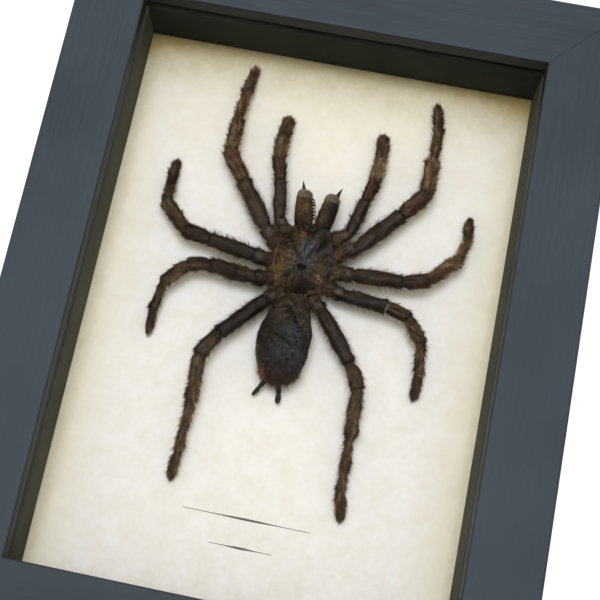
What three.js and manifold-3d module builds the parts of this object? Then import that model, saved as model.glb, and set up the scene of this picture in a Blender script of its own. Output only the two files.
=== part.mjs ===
// A dried tarantula in a glazed shadow box: mitred rails, pane, liner, backing and the specimen.
// Millimetres. +X to the viewer's right, +Z up, and the front faces -Y.
// The origin is under the middle of the box, on the surface that it stands on.
import * as THREE from 'three';
import { mergeVertices } from 'three/addons/utils/BufferGeometryUtils.js';
import Module from 'manifold-3d';

const wasm = await Module();
wasm.setup();

const inch = 25.4;
const gap = 0.3; // between pieces that rest on each other

// The box: 8.5 x 6.5 inches outside, for the stock 5 x 7 inch pane.
const boxWidth = 6.5 * inch;
const boxHeight = 8.5 * inch;
const railWidth = 21.1;
const railDepth = 36;
const mitreGap = 0.06;
const edgeRadius = 0.9;
const innerEdgeRadius = 0.7;
const lipDepth = 5.2;
const rabbetWidth = 3.2;
const paneWidth = 5 * inch;
const paneHeight = 7 * inch;
const paneThickness = 2.4;

// What stands behind the pane, from the front to the back.
const specimenRoom = 25.9; // front face of the box to the face of the paper
const linerChamfer = 0.9;
const paperThickness = 0.4;
const mountBoardThickness = 3;
const backBoardThickness = 3;

// Hardware on the back.
const pointLength = 15;
const pointWidth = 7;
const pointThickness = 0.5;
const pointInRail = 5;
const pointCorner = 1; // cut off each corner at its square end
const slotHeight = pointThickness + 2 * gap;
const hangerLength = 45;
const hangerHeight = 12;
const hangerThickness = 0.9;
const hangerStandOff = 1.8; // how far its toothed edge stands out
const hangerTeeth = 11;
const toothDepth = 1.6;
const hangerEar = 6; // the plain stretch at each end, where a nail goes through
const hangerEarRise = 3; // how far the ears' lower edge is above the teeth
const hangerCorner = 2;
const holeRise = 1; // the nail holes are this far above the hanger's middle
const flatReach = 2; // the hanger is flat down to this far below its middle, then leans out
const nailRadius = 0.8;
const nailHeadRadius = 1.9;
const nailHeadHeight = 0.6;
const nailTip = 1.2;
const nailLength = 9;
const bumperRadius = 5;
const bumperThickness = 2;
const backGap = 0.1; // between the rails' back and the hardware on it
const feltGap = 0.05;

const boxDepth = railDepth + bumperThickness;
const frontY = -boxDepth / 2;
const backY = frontY + railDepth;
const paneY = frontY + lipDepth + gap;
const linerY = paneY + paneThickness + gap;
const paperY = frontY + specimenRoom;
const linerDepth = paperY - gap - linerY;
const mountBoardY = paperY + paperThickness + gap;
const backBoardY = mountBoardY + mountBoardThickness + gap;
const pointY = backBoardY + backBoardThickness + gap;

const sightWidth = boxWidth - 2 * railWidth;
const sightHeight = boxHeight - 2 * railWidth;
const middleZ = boxHeight / 2;

function finish(color, roughness, metalness = 0) {
  return new THREE.MeshStandardMaterial({ color, roughness, metalness });
}

const painted = () => finish('#454c53', 0.62);
const linerPaint = () => finish('#3c3e3a', 0.7);
const paper = () => finish('#ece7d8', 0.9);
const board = () => finish('#d8d4c8', 0.85);
const hardboard = () => finish('#5d4632', 0.8);
const steel = () => finish('#9a9c9e', 0.35, 1);
const felt = () => finish('#2b2b2c', 0.95);
const cuticle = () => finish('#2c2320', 0.6);
const skin = () => finish('#25211f', 0.7);
const horn = () => finish('#100e0e', 0.3);

function clear() {
  const material = finish('#f4faf8', 0.03);
  material.transparent = true;
  material.opacity = 0.2;
  return material;
}

const object = new THREE.Group();

function add(name, geometry, material, x = 0, y = 0, z = 0) {
  const mesh = new THREE.Mesh(geometry, material);
  mesh.name = name;
  mesh.position.set(x, y, z);
  object.add(mesh);
  return mesh;
}

// A solid drawn in the X-Z plane, its back face at y = 0 and its front face at y = -depth.
function plate(shape, depth) {
  const geometry = new THREE.ExtrudeGeometry(shape, { depth, bevelEnabled: false });
  geometry.rotateX(Math.PI / 2);
  return geometry;
}

function sheet(width, height, depth) {
  return new THREE.BoxGeometry(width, height, depth).rotateX(Math.PI / 2);
}

// ---- booleans ----

function solid(geometry) {
  const bare = geometry.clone();
  bare.deleteAttribute('normal');
  bare.deleteAttribute('uv');
  const merged = mergeVertices(bare, 1e-4);
  const vertProperties = new Float32Array(merged.attributes.position.array);
  const triVerts = new Uint32Array(merged.index.array);
  return new wasm.Manifold(new wasm.Mesh({ numProp: 3, vertProperties, triVerts }));
}

function surface(manifold) {
  const mesh = manifold.getMesh();
  const geometry = new THREE.BufferGeometry();
  geometry.setAttribute('position', new THREE.BufferAttribute(mesh.vertProperties, 3));
  geometry.setIndex(new THREE.BufferAttribute(mesh.triVerts, 1));
  geometry.computeVertexNormals();
  return geometry;
}

function cut(geometry, tools) {
  return surface(tools.reduce((body, tool) => body.subtract(solid(tool)), solid(geometry)));
}

// ---- the box ----

// Rail section: u runs in from the outer edge, v back from the front face.
function railSection() {
  const s = new THREE.Shape();
  const r = edgeRadius;
  const q = innerEdgeRadius;
  const wall = railWidth - rabbetWidth;
  s.moveTo(0, r);
  s.absarc(r, r, r, Math.PI, 1.5 * Math.PI, false);
  s.lineTo(railWidth - q, 0);
  s.absarc(railWidth - q, q, q, 1.5 * Math.PI, 2 * Math.PI, false);
  s.lineTo(railWidth, lipDepth);
  s.lineTo(wall, lipDepth);
  s.lineTo(wall, railDepth);
  s.lineTo(r, railDepth);
  s.absarc(r, railDepth - r, r, 0.5 * Math.PI, Math.PI, false);
  return s;
}

// A strip of a section, lying along X and centred, its ends cut at 45 degrees.
// outerLength is its length where u = 0; the section's u points up (+Z), v back (+Y).
function mitredStrip(section, outerLength) {
  const geometry = new THREE.ExtrudeGeometry(section, {
    depth: 1,
    bevelEnabled: false,
    curveSegments: 4,
  });
  const place = geometry.attributes.position;
  for (let i = 0; i < place.count; i += 1) {
    const u = place.getX(i);
    const v = place.getY(i);
    const side = place.getZ(i) > 0.5 ? 1 : -1;
    const half = outerLength / 2 - mitreGap - u;
    place.setXYZ(i, -side * half, v, u);
  }
  geometry.computeVertexNormals();
  return geometry;
}

// The four strips of a frame, each turned about the middle of the box.
function fourSides(prefix, section, width, height, y, material, tools = {}) {
  const sides = [
    ['bottom', width, height, 0],
    ['left', height, width, -Math.PI / 2],
    ['top', width, height, Math.PI],
    ['right', height, width, Math.PI / 2],
  ];
  for (const [side, length, across, turn] of sides) {
    let geometry = mitredStrip(section, length);
    geometry.translate(0, y, -across / 2);
    geometry.rotateY(-turn);
    geometry.translate(0, 0, middleZ);
    if (tools[side]) geometry = cut(geometry, tools[side]);
    add(`${prefix}_${side}`, geometry, material());
  }
}

// Liner section: flush with the lip's inner edge, its front inner edge planed off.
function linerSection() {
  const thickness = rabbetWidth - gap;
  const s = new THREE.Shape();
  s.moveTo(0, 0);
  s.lineTo(thickness - linerChamfer, 0);
  s.lineTo(thickness, linerChamfer);
  s.lineTo(thickness, linerDepth);
  s.lineTo(0, linerDepth);
  s.closePath();
  return s;
}

// Framer's points: thin steel lozenges pushed into the rails over the back board.
function pointShape() {
  const s = new THREE.Shape();
  s.moveTo(-pointLength / 2, 0);
  s.lineTo(-pointLength / 2 + pointWidth / 2, -pointWidth / 2);
  s.lineTo(pointLength / 2 - pointCorner, -pointWidth / 2);
  s.lineTo(pointLength / 2, -pointWidth / 2 + pointCorner);
  s.lineTo(pointLength / 2, pointWidth / 2 - pointCorner);
  s.lineTo(pointLength / 2 - pointCorner, pointWidth / 2);
  s.lineTo(-pointLength / 2 + pointWidth / 2, pointWidth / 2);
  s.closePath();
  return s;
}

// Where each point stands: the rail it is in, its place, and the way its tip faces.
function pointPlaces() {
  const sideX = sightWidth / 2 + rabbetWidth + pointInRail - pointLength / 2;
  const endZ = sightHeight / 2 + rabbetWidth + pointInRail - pointLength / 2;
  const sideRise = paneHeight / 4;
  return [
    ['top', 0, middleZ + endZ, Math.PI / 2],
    ['bottom', 0, middleZ - endZ, -Math.PI / 2],
    ['left', -sideX, middleZ + sideRise, 0],
    ['left', -sideX, middleZ - sideRise, 0],
    ['right', sideX, middleZ + sideRise, Math.PI],
    ['right', sideX, middleZ - sideRise, Math.PI],
  ];
}

const hangerZ = boxHeight - (railWidth - rabbetWidth) / 2;
const nailX = hangerLength / 2 - 4;

// The saw-tooth hanger: a bar with teeth along its lower edge and a hole at each end.
function hangerShape() {
  const s = new THREE.Shape();
  const half = hangerLength / 2;
  const high = hangerHeight / 2;
  const earZ = -high + hangerEarRise;
  const teethX = -half + hangerEar + hangerCorner;
  const toothRun = (-2 * teethX) / hangerTeeth;
  s.moveTo(-half, earZ);
  s.lineTo(-half + hangerEar, earZ);
  s.lineTo(teethX, -high);
  for (let i = 0; i < hangerTeeth; i += 1) {
    const x = teethX + toothRun * i;
    s.lineTo(x + toothRun / 2, -high + toothDepth);
    s.lineTo(x + toothRun, -high);
  }
  s.lineTo(half - hangerEar, earZ);
  s.lineTo(half, earZ);
  s.lineTo(half, high - hangerCorner);
  s.lineTo(half - hangerCorner, high);
  s.lineTo(-half + hangerCorner, high);
  s.lineTo(-half, high - hangerCorner);
  s.closePath();
  for (const side of [-1, 1]) {
    const hole = new THREE.Path();
    hole.absarc(side * nailX, holeRise, nailRadius + gap, 0, 2 * Math.PI, true);
    s.holes.push(hole);
  }
  return s;
}

// The toothed edge leans out from the rail, so that a nail's head slips behind it.
function hangerGeometry() {
  const geometry = plate(hangerShape(), hangerThickness);
  const place = geometry.attributes.position;
  const leanReach = hangerHeight / 2 - flatReach;
  for (let i = 0; i < place.count; i += 1) {
    const below = Math.max(0, -place.getZ(i) - flatReach);
    const lean = (below / leanReach) * (hangerStandOff - hangerThickness);
    place.setY(i, place.getY(i) + hangerThickness + lean);
  }
  return geometry;
}

// A nail: shank into the rail, low domed head outside, turned about Y.
function nailGeometry() {
  const profile = [
    [0, -nailLength],
    [nailRadius, -nailLength + nailTip],
    [nailRadius, 0],
    [nailHeadRadius, 0],
    [nailHeadRadius * 0.8, nailHeadHeight * 0.75],
    [0, nailHeadHeight],
  ].map(([r, h]) => new THREE.Vector2(r, h));
  return new THREE.LatheGeometry(profile, 12);
}

function buildBox() {
  const slotShape = new THREE.Shape();
  const slotReach = pointLength + 2 * gap;
  const slotHalf = pointWidth / 2 + gap;
  slotShape.moveTo(-slotReach / 2, -slotHalf);
  slotShape.lineTo(slotReach / 2, -slotHalf);
  slotShape.lineTo(slotReach / 2, slotHalf);
  slotShape.lineTo(-slotReach / 2, slotHalf);
  const slots = {};
  for (const [side, x, z, turn] of pointPlaces()) {
    const slot = plate(slotShape, slotHeight);
    slot.rotateY(turn);
    slot.translate(x, pointY - gap + slotHeight, z);
    slots[side] = [...(slots[side] ?? []), slot];
  }
  for (const side of [-1, 1]) {
    const holeRadius = nailRadius + gap;
    const hole = new THREE.CylinderGeometry(holeRadius, holeRadius, nailLength + nailTip, 12);
    hole.translate(side * nailX, backY - nailLength / 2, hangerZ + holeRise);
    slots.top.push(hole);
  }

  fourSides('rail', railSection(), boxWidth, boxHeight, frontY, painted, slots);
  const linerWidth = sightWidth + 2 * (rabbetWidth - gap);
  const linerHeight = sightHeight + 2 * (rabbetWidth - gap);
  fourSides('liner', linerSection(), linerWidth, linerHeight, linerY, linerPaint);

  const stack = [
    ['pane', paneThickness, paneY, clear],
    ['parchment', paperThickness, paperY, paper],
    ['mount_board', mountBoardThickness, mountBoardY, board],
    ['back_board', backBoardThickness, backBoardY, hardboard],
  ];
  for (const [name, thickness, y, material] of stack) {
    const geometry = sheet(paneWidth, paneHeight, thickness);
    add(name, geometry, material(), 0, y + thickness / 2, middleZ);
  }

  pointPlaces().forEach(([, x, z, turn], i) => {
    const geometry = plate(pointShape(), pointThickness).rotateY(turn);
    add(`point_${i + 1}`, geometry, steel(), x, pointY + pointThickness, z);
  });
  add('hanger', hangerGeometry(), steel(), 0, backY + backGap, hangerZ);
  const headY = backY + backGap + hangerThickness + feltGap;
  const felted = bumperThickness - feltGap;
  const cornerIn = (railWidth - rabbetWidth) / 2;
  for (const [name, side] of [['left', -1], ['right', 1]]) {
    add(`hanger_nail_${name}`, nailGeometry(), steel(), side * nailX, headY, hangerZ + holeRise);
    const bumper = new THREE.CylinderGeometry(bumperRadius, bumperRadius, felted, 20);
    const bumperX = side * (boxWidth / 2 - cornerIn);
    add(`bumper_${name}`, bumper, felt(), bumperX, backY + feltGap + felted / 2, cornerIn);
  }
}

// ---- the specimen ----
// Places on the paper are [x, z]; lift is the height of a piece's middle above the paper.

const bodyX = 1.3; // the animal is pinned a little right of the middle

// A grown piece: rings along its middle line, each with a half width (along the paper)
// and a half thickness (off the paper). A station is [x, z, lift, halfWidth, halfThickness].
function grown(stations, sides, stepsEach, swell = 0) {
  const middle = new THREE.CatmullRomCurve3(
    stations.map(([x, z, lift]) => new THREE.Vector3(x, paperY - lift, z)),
    false, 'catmullrom', 0.4,
  );
  const girth = new THREE.CatmullRomCurve3(
    stations.map(([, , , w, t]) => new THREE.Vector3(w, t, 0)),
    false, 'catmullrom', 0.4,
  );
  const steps = stepsEach * (stations.length - 1);
  const geometry = new THREE.CylinderGeometry(1, 1, 1, sides, steps);
  const place = geometry.attributes.position;
  const out = new THREE.Vector3(0, -1, 0);
  for (let i = 0; i < place.count; i += 1) {
    const t = place.getY(i) + 0.5;
    const tangent = middle.getTangent(t);
    const across = new THREE.Vector3().crossVectors(tangent, out).normalize();
    const up = new THREE.Vector3().crossVectors(across, tangent);
    const size = girth.getPoint(t);
    const point = middle.getPoint(t);
    if (t < 1e-6) point.addScaledVector(tangent, -swell);
    if (t > 1 - 1e-6) point.addScaledVector(tangent, swell);
    point.addScaledVector(across, place.getX(i) * (size.x + swell));
    point.addScaledVector(up, place.getZ(i) * (size.y + swell));
    place.setXYZ(i, point.x, point.y, point.z);
  }
  geometry.computeVertexNormals();
  return geometry;
}

// Legs: coxa root, hip, and [length along the paper, heading] of the femur, patella,
// tibia, metatarsus and tarsus. Headings are degrees from +X towards +Z.
const legs = {
  leg_1_left: { root: [-6.9, 129.4], hip: [-11.9, 134.2], stout: 1.0,
    run: [[16.7, 126], [10.3, 125], [11.5, 90], [11.2, 87], [9.1, 84]] },
  leg_2_left: { root: [-6.6, 124.5], hip: [-13.8, 124.9], stout: 0.95,
    run: [[14.4, 171], [7.7, 170], [11.4, 134], [6.6, 95], [8.7, 88]] },
  leg_3_left: { root: [-5.8, 119.5], hip: [-12.0, 117.8], stout: 0.92,
    run: [[14.1, 174], [6.7, 191], [8.8, 226], [8.8, 258], [6.8, 270]] },
  leg_4_left: { root: [-2.7, 115.1], hip: [-7.0, 112.4], stout: 0.92,
    run: [[18.2, 228], [8.7, 241], [13.8, 272], [15.2, 267], [8.0, 266]] },
  leg_1_right: { root: [10.0, 129.4], hip: [16.1, 132.9], stout: 1.0,
    run: [[17.6, 48], [10.2, 53], [11.4, 89], [11.6, 89], [9.1, 101]] },
  leg_2_right: { root: [9.7, 124.5], hip: [16.6, 124.6], stout: 0.92,
    run: [[15.1, 2], [7.6, 13], [11.7, 48], [7.6, 75], [7.5, 92]] },
  leg_3_right: { root: [8.9, 119.6], hip: [15.2, 117.5], stout: 0.9,
    run: [[13.3, -4], [7.0, -17], [8.3, -51], [9.7, -84], [6.5, -92]] },
  leg_4_right: { root: [5.8, 115.1], hip: [9.5, 111.8], stout: 0.92,
    run: [[18.5, -52], [8.0, -62], [13.8, -89], [16.0, -89], [8.2, -80]] },
};
const palps = {
  palp_left: { root: [-5.4, 133.9], hip: [-8.7, 138.0], stout: 0.76,
    run: [[12.2, 99], [7.2, 105], [8.0, 92], [8.0, 86]] },
  palp_right: { root: [8.6, 134.3], hip: [13.3, 137.1], stout: 0.76,
    run: [[11.5, 76], [7.2, 75], [8.0, 86], [9.3, 94]] },
};

const legLift = [7, 7.4, 7.6, 6.2, 3.9, 2.1]; // at the hip, the joints and the tip
const palpLift = [7, 7.4, 6.4, 4.4, 2.2];
const legRadius = [2.0, 2.0, 1.9, 1.8, 1.6]; // at the hip and at the joints after it
const legSwell = [2.35, 2.2, 2.1, 1.85, 1.75]; // in the middle of each part
const palpRadius = [2.1, 2.1, 2.1, 2.1];
const palpSwell = [2.3, 2.2, 2.2, 2.25];

const coxa = { rootLift: 6, rootRadius: 1.9, lift: 6.4, radius: 2.2 };
const tip = { radius: 0.5, droop: 0.4, taperAt: 0.85, taper: 0.75 };

function limbStations({ root, hip, run, stout }, lifts, radii, swells) {
  const stations = [];
  const put = (x, z, lift, r) => stations.push([x, z, lift, r * stout, r * stout]);
  put(root[0], root[1], coxa.rootLift, coxa.rootRadius);
  put((root[0] + hip[0]) / 2, (root[1] + hip[1]) / 2, coxa.lift, coxa.radius);
  let [x, z] = hip;
  put(x, z, lifts[0], radii[0]);
  run.forEach(([length, heading], i) => {
    const angle = THREE.MathUtils.degToRad(heading);
    const nextX = x + length * Math.cos(angle);
    const nextZ = z + length * Math.sin(angle);
    put((x + nextX) / 2, (z + nextZ) / 2, (lifts[i] + lifts[i + 1]) / 2, swells[i]);
    if (i < run.length - 1) {
      put(nextX, nextZ, lifts[i + 1], radii[i + 1]);
    } else {
      const nearX = x + (nextX - x) * tip.taperAt;
      const nearZ = z + (nextZ - z) * tip.taperAt;
      put(nearX, nearZ, lifts[i + 1], swells[i] * tip.taper);
      put(nextX, nextZ, lifts[i + 1] - tip.droop, tip.radius);
    }
    x = nextX;
    z = nextZ;
  });
  return stations;
}

// Head and thorax: the domed carapace with the breast plate beneath it.
const cephalothorax = [
  [bodyX, 115.9, 7.4, 3.4, 1.6],
  [bodyX, 117.2, 7.6, 6.4, 3.0],
  [bodyX, 120.4, 7.8, 8.6, 4.3],
  [bodyX, 125.0, 8.0, 9.3, 4.9],
  [bodyX, 129.6, 8.2, 8.9, 5.1],
  [bodyX + 0.3, 133.4, 8.6, 6.7, 4.7],
  [bodyX + 0.6, 136.4, 8.8, 4.8, 3.6],
  [bodyX + 0.7, 137.7, 8.8, 3.4, 2.0],
];

// The abdomen, from the waist under the carapace to the tail.
const abdomen = [
  [1.2, 115.0, 6.6, 2.2, 1.6],
  [1.0, 112.6, 7.2, 3.9, 3.0],
  [0.7, 109.0, 7.8, 6.0, 4.8],
  [0.5, 104.0, 8.0, 7.6, 6.0],
  [0.4, 98.5, 7.8, 8.0, 6.3],
  [0.7, 93.4, 7.2, 7.1, 5.6],
  [1.3, 89.6, 6.6, 5.0, 4.2],
  [1.8, 87.3, 6.2, 2.2, 1.8],
];

// Jaws and their fangs, and the two spinnerets at the tail.
const smallPieces = {
  chelicera_left: [[-0.9, 138.2, 8.2, 2.2, 2.2], [-1.4, 141.5, 8.4, 2.35, 2.6],
    [-1.9, 145.0, 7.8, 2.1, 2.4], [-2.2, 147.0, 7.2, 1.3, 1.5]],
  chelicera_right: [[5.0, 138.2, 8.2, 2.2, 2.2], [5.5, 141.5, 8.4, 2.35, 2.6],
    [6.0, 145.2, 7.8, 2.1, 2.4], [6.4, 147.4, 7.2, 1.3, 1.5]],
  fang_left: [[-2.5, 147.6, 6.8, 0.75, 0.75], [-3.0, 149.6, 6.2, 0.55, 0.55],
    [-3.6, 151.7, 5.0, 0.15, 0.15]],
  fang_right: [[6.9, 147.9, 6.8, 0.75, 0.75], [7.6, 149.8, 6.2, 0.55, 0.55],
    [8.2, 151.6, 5.0, 0.15, 0.15]],
  spinneret_left: [[-2.9, 87.9, 4.4, 0.75, 0.75], [-4.1, 86.0, 3.6, 0.8, 0.8],
    [-5.6, 83.7, 2.6, 0.45, 0.45]],
  spinneret_right: [[1.6, 86.2, 4.2, 0.8, 0.8], [1.9, 84.9, 3.6, 0.85, 0.85],
    [2.0, 82.6, 2.6, 0.6, 0.6]],
};

// Sides per ring, and rings per stretch between two stations.
const limbMesh = [8, 2];
const trunkMesh = [20, 2];
const smallMesh = [10, 3];

function buildSpecimen() {
  const limbs = {};
  for (const [name, leg] of Object.entries(legs)) {
    limbs[name] = limbStations(leg, legLift, legRadius, legSwell);
  }
  for (const [name, palp] of Object.entries(palps)) {
    limbs[name] = limbStations(palp, palpLift, palpRadius, palpSwell);
  }
  for (const [name, stations] of Object.entries(limbs)) {
    add(name, grown(stations, ...limbMesh), cuticle());
  }
  for (const [name, stations] of Object.entries(smallPieces)) {
    const material = name.startsWith('fang') ? horn() : cuticle();
    add(name, grown(stations, ...smallMesh), material);
  }

  const inTrunk = 4; // a limb's stations that reach into the trunk
  const sockets = Object.values(limbs)
    .map((stations) => grown(stations.slice(0, inTrunk), ...limbMesh, gap));
  add('cephalothorax', cut(grown(cephalothorax, ...trunkMesh), sockets), cuticle());
  const around = [
    grown(limbs.leg_4_left.slice(0, inTrunk + 1), ...limbMesh, gap),
    grown(limbs.leg_4_right.slice(0, inTrunk + 1), ...limbMesh, gap),
    grown(cephalothorax, ...trunkMesh, gap),
    grown(smallPieces.spinneret_left, ...smallMesh, gap),
    grown(smallPieces.spinneret_right, ...smallMesh, gap),
  ];
  add('abdomen', cut(grown(abdomen, ...trunkMesh), around), skin());
}

buildBox();
buildSpecimen();

export default object;
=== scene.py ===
# A dried tarantula in a glazed shadow box: the finish of the box, and the animal hair by hair.
import math

import bpy
import numpy as np
from mathutils import Euler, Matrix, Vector


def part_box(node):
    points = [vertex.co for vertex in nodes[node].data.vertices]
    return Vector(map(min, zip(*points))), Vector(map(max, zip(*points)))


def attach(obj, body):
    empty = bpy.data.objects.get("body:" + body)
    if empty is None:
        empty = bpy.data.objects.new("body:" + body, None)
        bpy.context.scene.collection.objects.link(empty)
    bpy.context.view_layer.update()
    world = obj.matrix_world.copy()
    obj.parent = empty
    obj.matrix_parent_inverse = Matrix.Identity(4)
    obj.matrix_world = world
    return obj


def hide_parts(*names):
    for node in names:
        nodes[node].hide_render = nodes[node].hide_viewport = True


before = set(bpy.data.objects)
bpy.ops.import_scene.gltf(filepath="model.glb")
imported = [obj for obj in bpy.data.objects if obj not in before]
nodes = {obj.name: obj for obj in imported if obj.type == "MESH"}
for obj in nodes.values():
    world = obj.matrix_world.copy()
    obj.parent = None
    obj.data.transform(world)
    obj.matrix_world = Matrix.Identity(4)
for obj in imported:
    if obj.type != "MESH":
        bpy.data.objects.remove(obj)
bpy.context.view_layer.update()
mm = 0.001
bakeMap = "OFBake"
toneLevels = 8
print("frame loaded:", len(nodes), "nodes")


def srgb(red, green, sheenBlue):
    # a colour as seen on a screen, 0 to 255, made linear
    parts = []
    for value in (red, green, sheenBlue):
        c = value / 255
        parts.append(c / 12.92 if c < 0.04045 else ((c + 0.055) / 1.055) ** 2.4)
    return (*parts, 1.0)


class Look:
    # a tree of shader nodes, with a method for each kind of node that the materials need
    def __init__(self, tree):
        self.tree = tree

    def put(self, kind, inputs=None, **settings):
        node = self.tree.nodes.new(kind)
        for name, value in settings.items():
            setattr(node, name, value)
        for name, value in (inputs or {}).items():
            if isinstance(value, bpy.types.NodeSocket):
                self.tree.links.new(value, node.inputs[name])
            else:
                node.inputs[name].default_value = value
        return node

    def calc(self, operation, a, b=0.0, clamp=False):
        return self.put("ShaderNodeMath", {0: a, 1: b}, operation=operation, use_clamp=clamp).outputs[0]

    def times(self, a, b):
        return self.calc("MULTIPLY", a, b)

    def spread(self, value, low, high, to=(0.0, 1.0)):
        inputs = {"Value": value, "From Min": low, "From Max": high, "To Min": to[0], "To Max": to[1]}
        return self.put("ShaderNodeMapRange", inputs).outputs[0]

    def mix(self, amount, a, b, mode="MIX"):
        inputs = {0: amount, 6: a, 7: b}
        return self.put("ShaderNodeMix", inputs, data_type="RGBA", blend_type=mode).outputs[2]

    def over(self, color, coat, mask, share):
        return self.mix(self.times(mask, share), color, coat)

    def scaled(self, color, by):
        return self.mix(1.0, color, (*by, 1), "MULTIPLY")

    def noise(self, place, scale, detail, rough):
        inputs = {"Vector": place, "Scale": scale, "Detail": detail, "Roughness": rough}
        return self.put("ShaderNodeTexNoise", inputs).outputs[0]

    def bump(self, height, strength, distance):
        inputs = {"Height": height, "Strength": strength, "Distance": distance}
        return self.put("ShaderNodeBump", inputs).outputs[0]

    def place(self):
        return self.put("ShaderNodeTexCoord").outputs["Object"]

    def attribute(self, name, output="Fac"):
        return self.put("ShaderNodeAttribute", attribute_name=name).outputs[output]

    def use(self, group, **inputs):
        if "Place" not in inputs:
            inputs["Place"] = self.place()
        return self.put("ShaderNodeGroup", inputs, node_tree=group).outputs

    def finish(self, color, roughness=None, normal=None):
        for name, socket in (("Base Color", color), ("Roughness", roughness), ("Normal", normal)):
            if socket is not None:
                self.tree.links.new(socket, self.shader.inputs[name])
        return self.material


def emptyLook(owner):
    owner.use_nodes = True
    owner.node_tree.nodes.clear()
    return Look(owner.node_tree)


def newLook(name, roughness, specular, metallic=0.0, sheen=0.0):
    material = bpy.data.materials.new(name)
    look = emptyLook(material)
    look.material = material
    look.shader = look.put("ShaderNodeBsdfPrincipled", {
        "Roughness": roughness, "Specular IOR Level": specular, "Metallic": metallic, "Sheen Weight": sheen})
    look.put("ShaderNodeOutputMaterial", {0: look.shader.outputs[0]})
    return look


def newGroup(name, ins, outs):
    tree = bpy.data.node_groups.new(name, "ShaderNodeTree")
    for label, value in ins.items():
        kind = "NodeSocketVector" if isinstance(value, tuple) else "NodeSocketFloat"
        socket = tree.interface.new_socket(label, in_out="INPUT", socket_type=kind)
        socket.default_value = value
    for label in outs:
        tree.interface.new_socket(label, in_out="OUTPUT", socket_type="NodeSocketFloat")
    look = Look(tree)
    return look, look.put("NodeGroupInput").outputs, look.put("NodeGroupOutput").inputs


def makeGrain():
    # lines drawn out along one axis: wood, lying hair, board fibres
    ins = {"Place": (0, 0, 0), "Stretch": (1, 1, 1), "Fineness": 1.0}
    look, given, out = newGroup("grain", ins, ["Lines", "Pores"])
    pull = {0: given["Place"], 1: given["Stretch"]}
    pulled = look.put("ShaderNodeVectorMath", pull, operation="MULTIPLY").outputs[0]
    coarse = look.noise(pulled, given["Fineness"], 5, 0.62)
    fine = look.noise(pulled, look.times(given["Fineness"], 3.3), 2, 0.55)
    look.tree.links.new(look.spread(coarse, 0.34, 0.66), out["Lines"])
    look.tree.links.new(look.spread(fine, 0.6, 0.74), out["Pores"])
    return look.tree


def makeClouds():
    # soft patches at two sizes: mottled paper, worn paint, dried skin
    look, given, out = newGroup("clouds", {"Place": (0, 0, 0), "Size": 1.0}, ["Broad", "Fine"])
    broad = look.noise(given["Place"], given["Size"], 3, 0.5)
    fine = look.noise(given["Place"], look.times(given["Size"], 4.3), 4, 0.6)
    look.tree.links.new(look.spread(broad, 0.36, 0.64), out["Broad"])
    look.tree.links.new(look.spread(fine, 0.34, 0.66), out["Fine"])
    return look.tree


def makeSpecks():
    # dust and tiny flecks: a share of the cells of a cell pattern each hold one dot
    ins = {"Place": (0, 0, 0), "Scale": 1.0, "Share": 0.1, "Dot": 0.15}
    look, given, out = newGroup("specks", ins, ["Mask"])
    cells = look.put("ShaderNodeTexVoronoi", {"Vector": given["Place"], "Scale": given["Scale"]}).outputs
    parts = look.put("ShaderNodeSeparateColor", {0: cells["Color"]}).outputs
    chosen = look.calc("LESS_THAN", parts[0], given["Share"])
    near = look.calc("LESS_THAN", cells["Distance"], look.times(parts[1], given["Dot"]))
    look.tree.links.new(look.times(chosen, near), out["Mask"])
    return look.tree


grain = makeGrain()
clouds = makeClouds()
specks = makeSpecks()

sight = {"halfWidth": 0.06145, "low": 0.0211, "high": 0.1948}
rails = {
    "paint": srgb(61, 71, 78),
    "paintDark": srgb(49, 57, 63),
    "dust": srgb(112, 118, 120),
    "lip": srgb(34, 36, 37),  # dark paint on the faces round the opening, which also stands in as painted shade under the lip
    "lipEdge": (-0.0003, -0.0001),  # how far inside the opening its dark paint and painted shade begin and are full
    "pull": 0.035,  # grain length against its width
    "fineness": 1500.0,
    "relief": 0.22,
}


def insideSight(look):
    # how far inside the opening a place is, from its sides, its top and its bottom
    axes = look.put("ShaderNodeSeparateXYZ", {0: look.place()}).outputs
    fromSide = look.calc("SUBTRACT", sight["halfWidth"], look.calc("ABSOLUTE", axes["X"]))
    fromTop = look.calc("SUBTRACT", sight["high"], axes["Z"])
    return fromSide, fromTop, look.calc("SUBTRACT", axes["Z"], sight["low"])


def paintedWood(name, stretch):
    look = newLook(name, 0.55, 0.18)
    lines = look.use(grain, Stretch=stretch, Fineness=rails["fineness"])
    patch = look.use(clouds, Size=28.0)
    dots = look.use(specks, Scale=620.0, Share=0.06, Dot=0.2)
    tone = look.calc("ADD", look.times(lines["Lines"], 0.55), look.times(patch["Broad"], 0.45))
    color = look.mix(tone, rails["paintDark"], rails["paint"])
    color = look.over(color, srgb(42, 48, 54), lines["Pores"], 0.35)
    color = look.over(color, rails["dust"], dots["Mask"], 0.45)
    fromSide, fromTop, fromLow = insideSight(look)
    nearest = look.calc("MINIMUM", fromSide, look.calc("MINIMUM", fromTop, fromLow))
    # painted shade: the faces round the opening take the dark lip colour
    color = look.mix(look.spread(nearest, *rails["lipEdge"]), color, rails["lip"])
    return look.finish(color, look.spread(lines["Lines"], 0, 1, (0.48, 0.62)),
                       look.bump(lines["Lines"], rails["relief"], 0.00006))


def linerPaint(name, pale, deep):
    look = newLook(name, 0.75, 0.05)
    patch = look.use(clouds, Size=60.0)
    lines = look.use(grain, Stretch=(1, 0.3, 1), Fineness=500.0)
    color = look.over(look.mix(patch["Broad"], deep, pale), deep, lines["Lines"], 0.3)
    return look.finish(color, normal=look.bump(lines["Lines"], 0.15, 0.00005))


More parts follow.
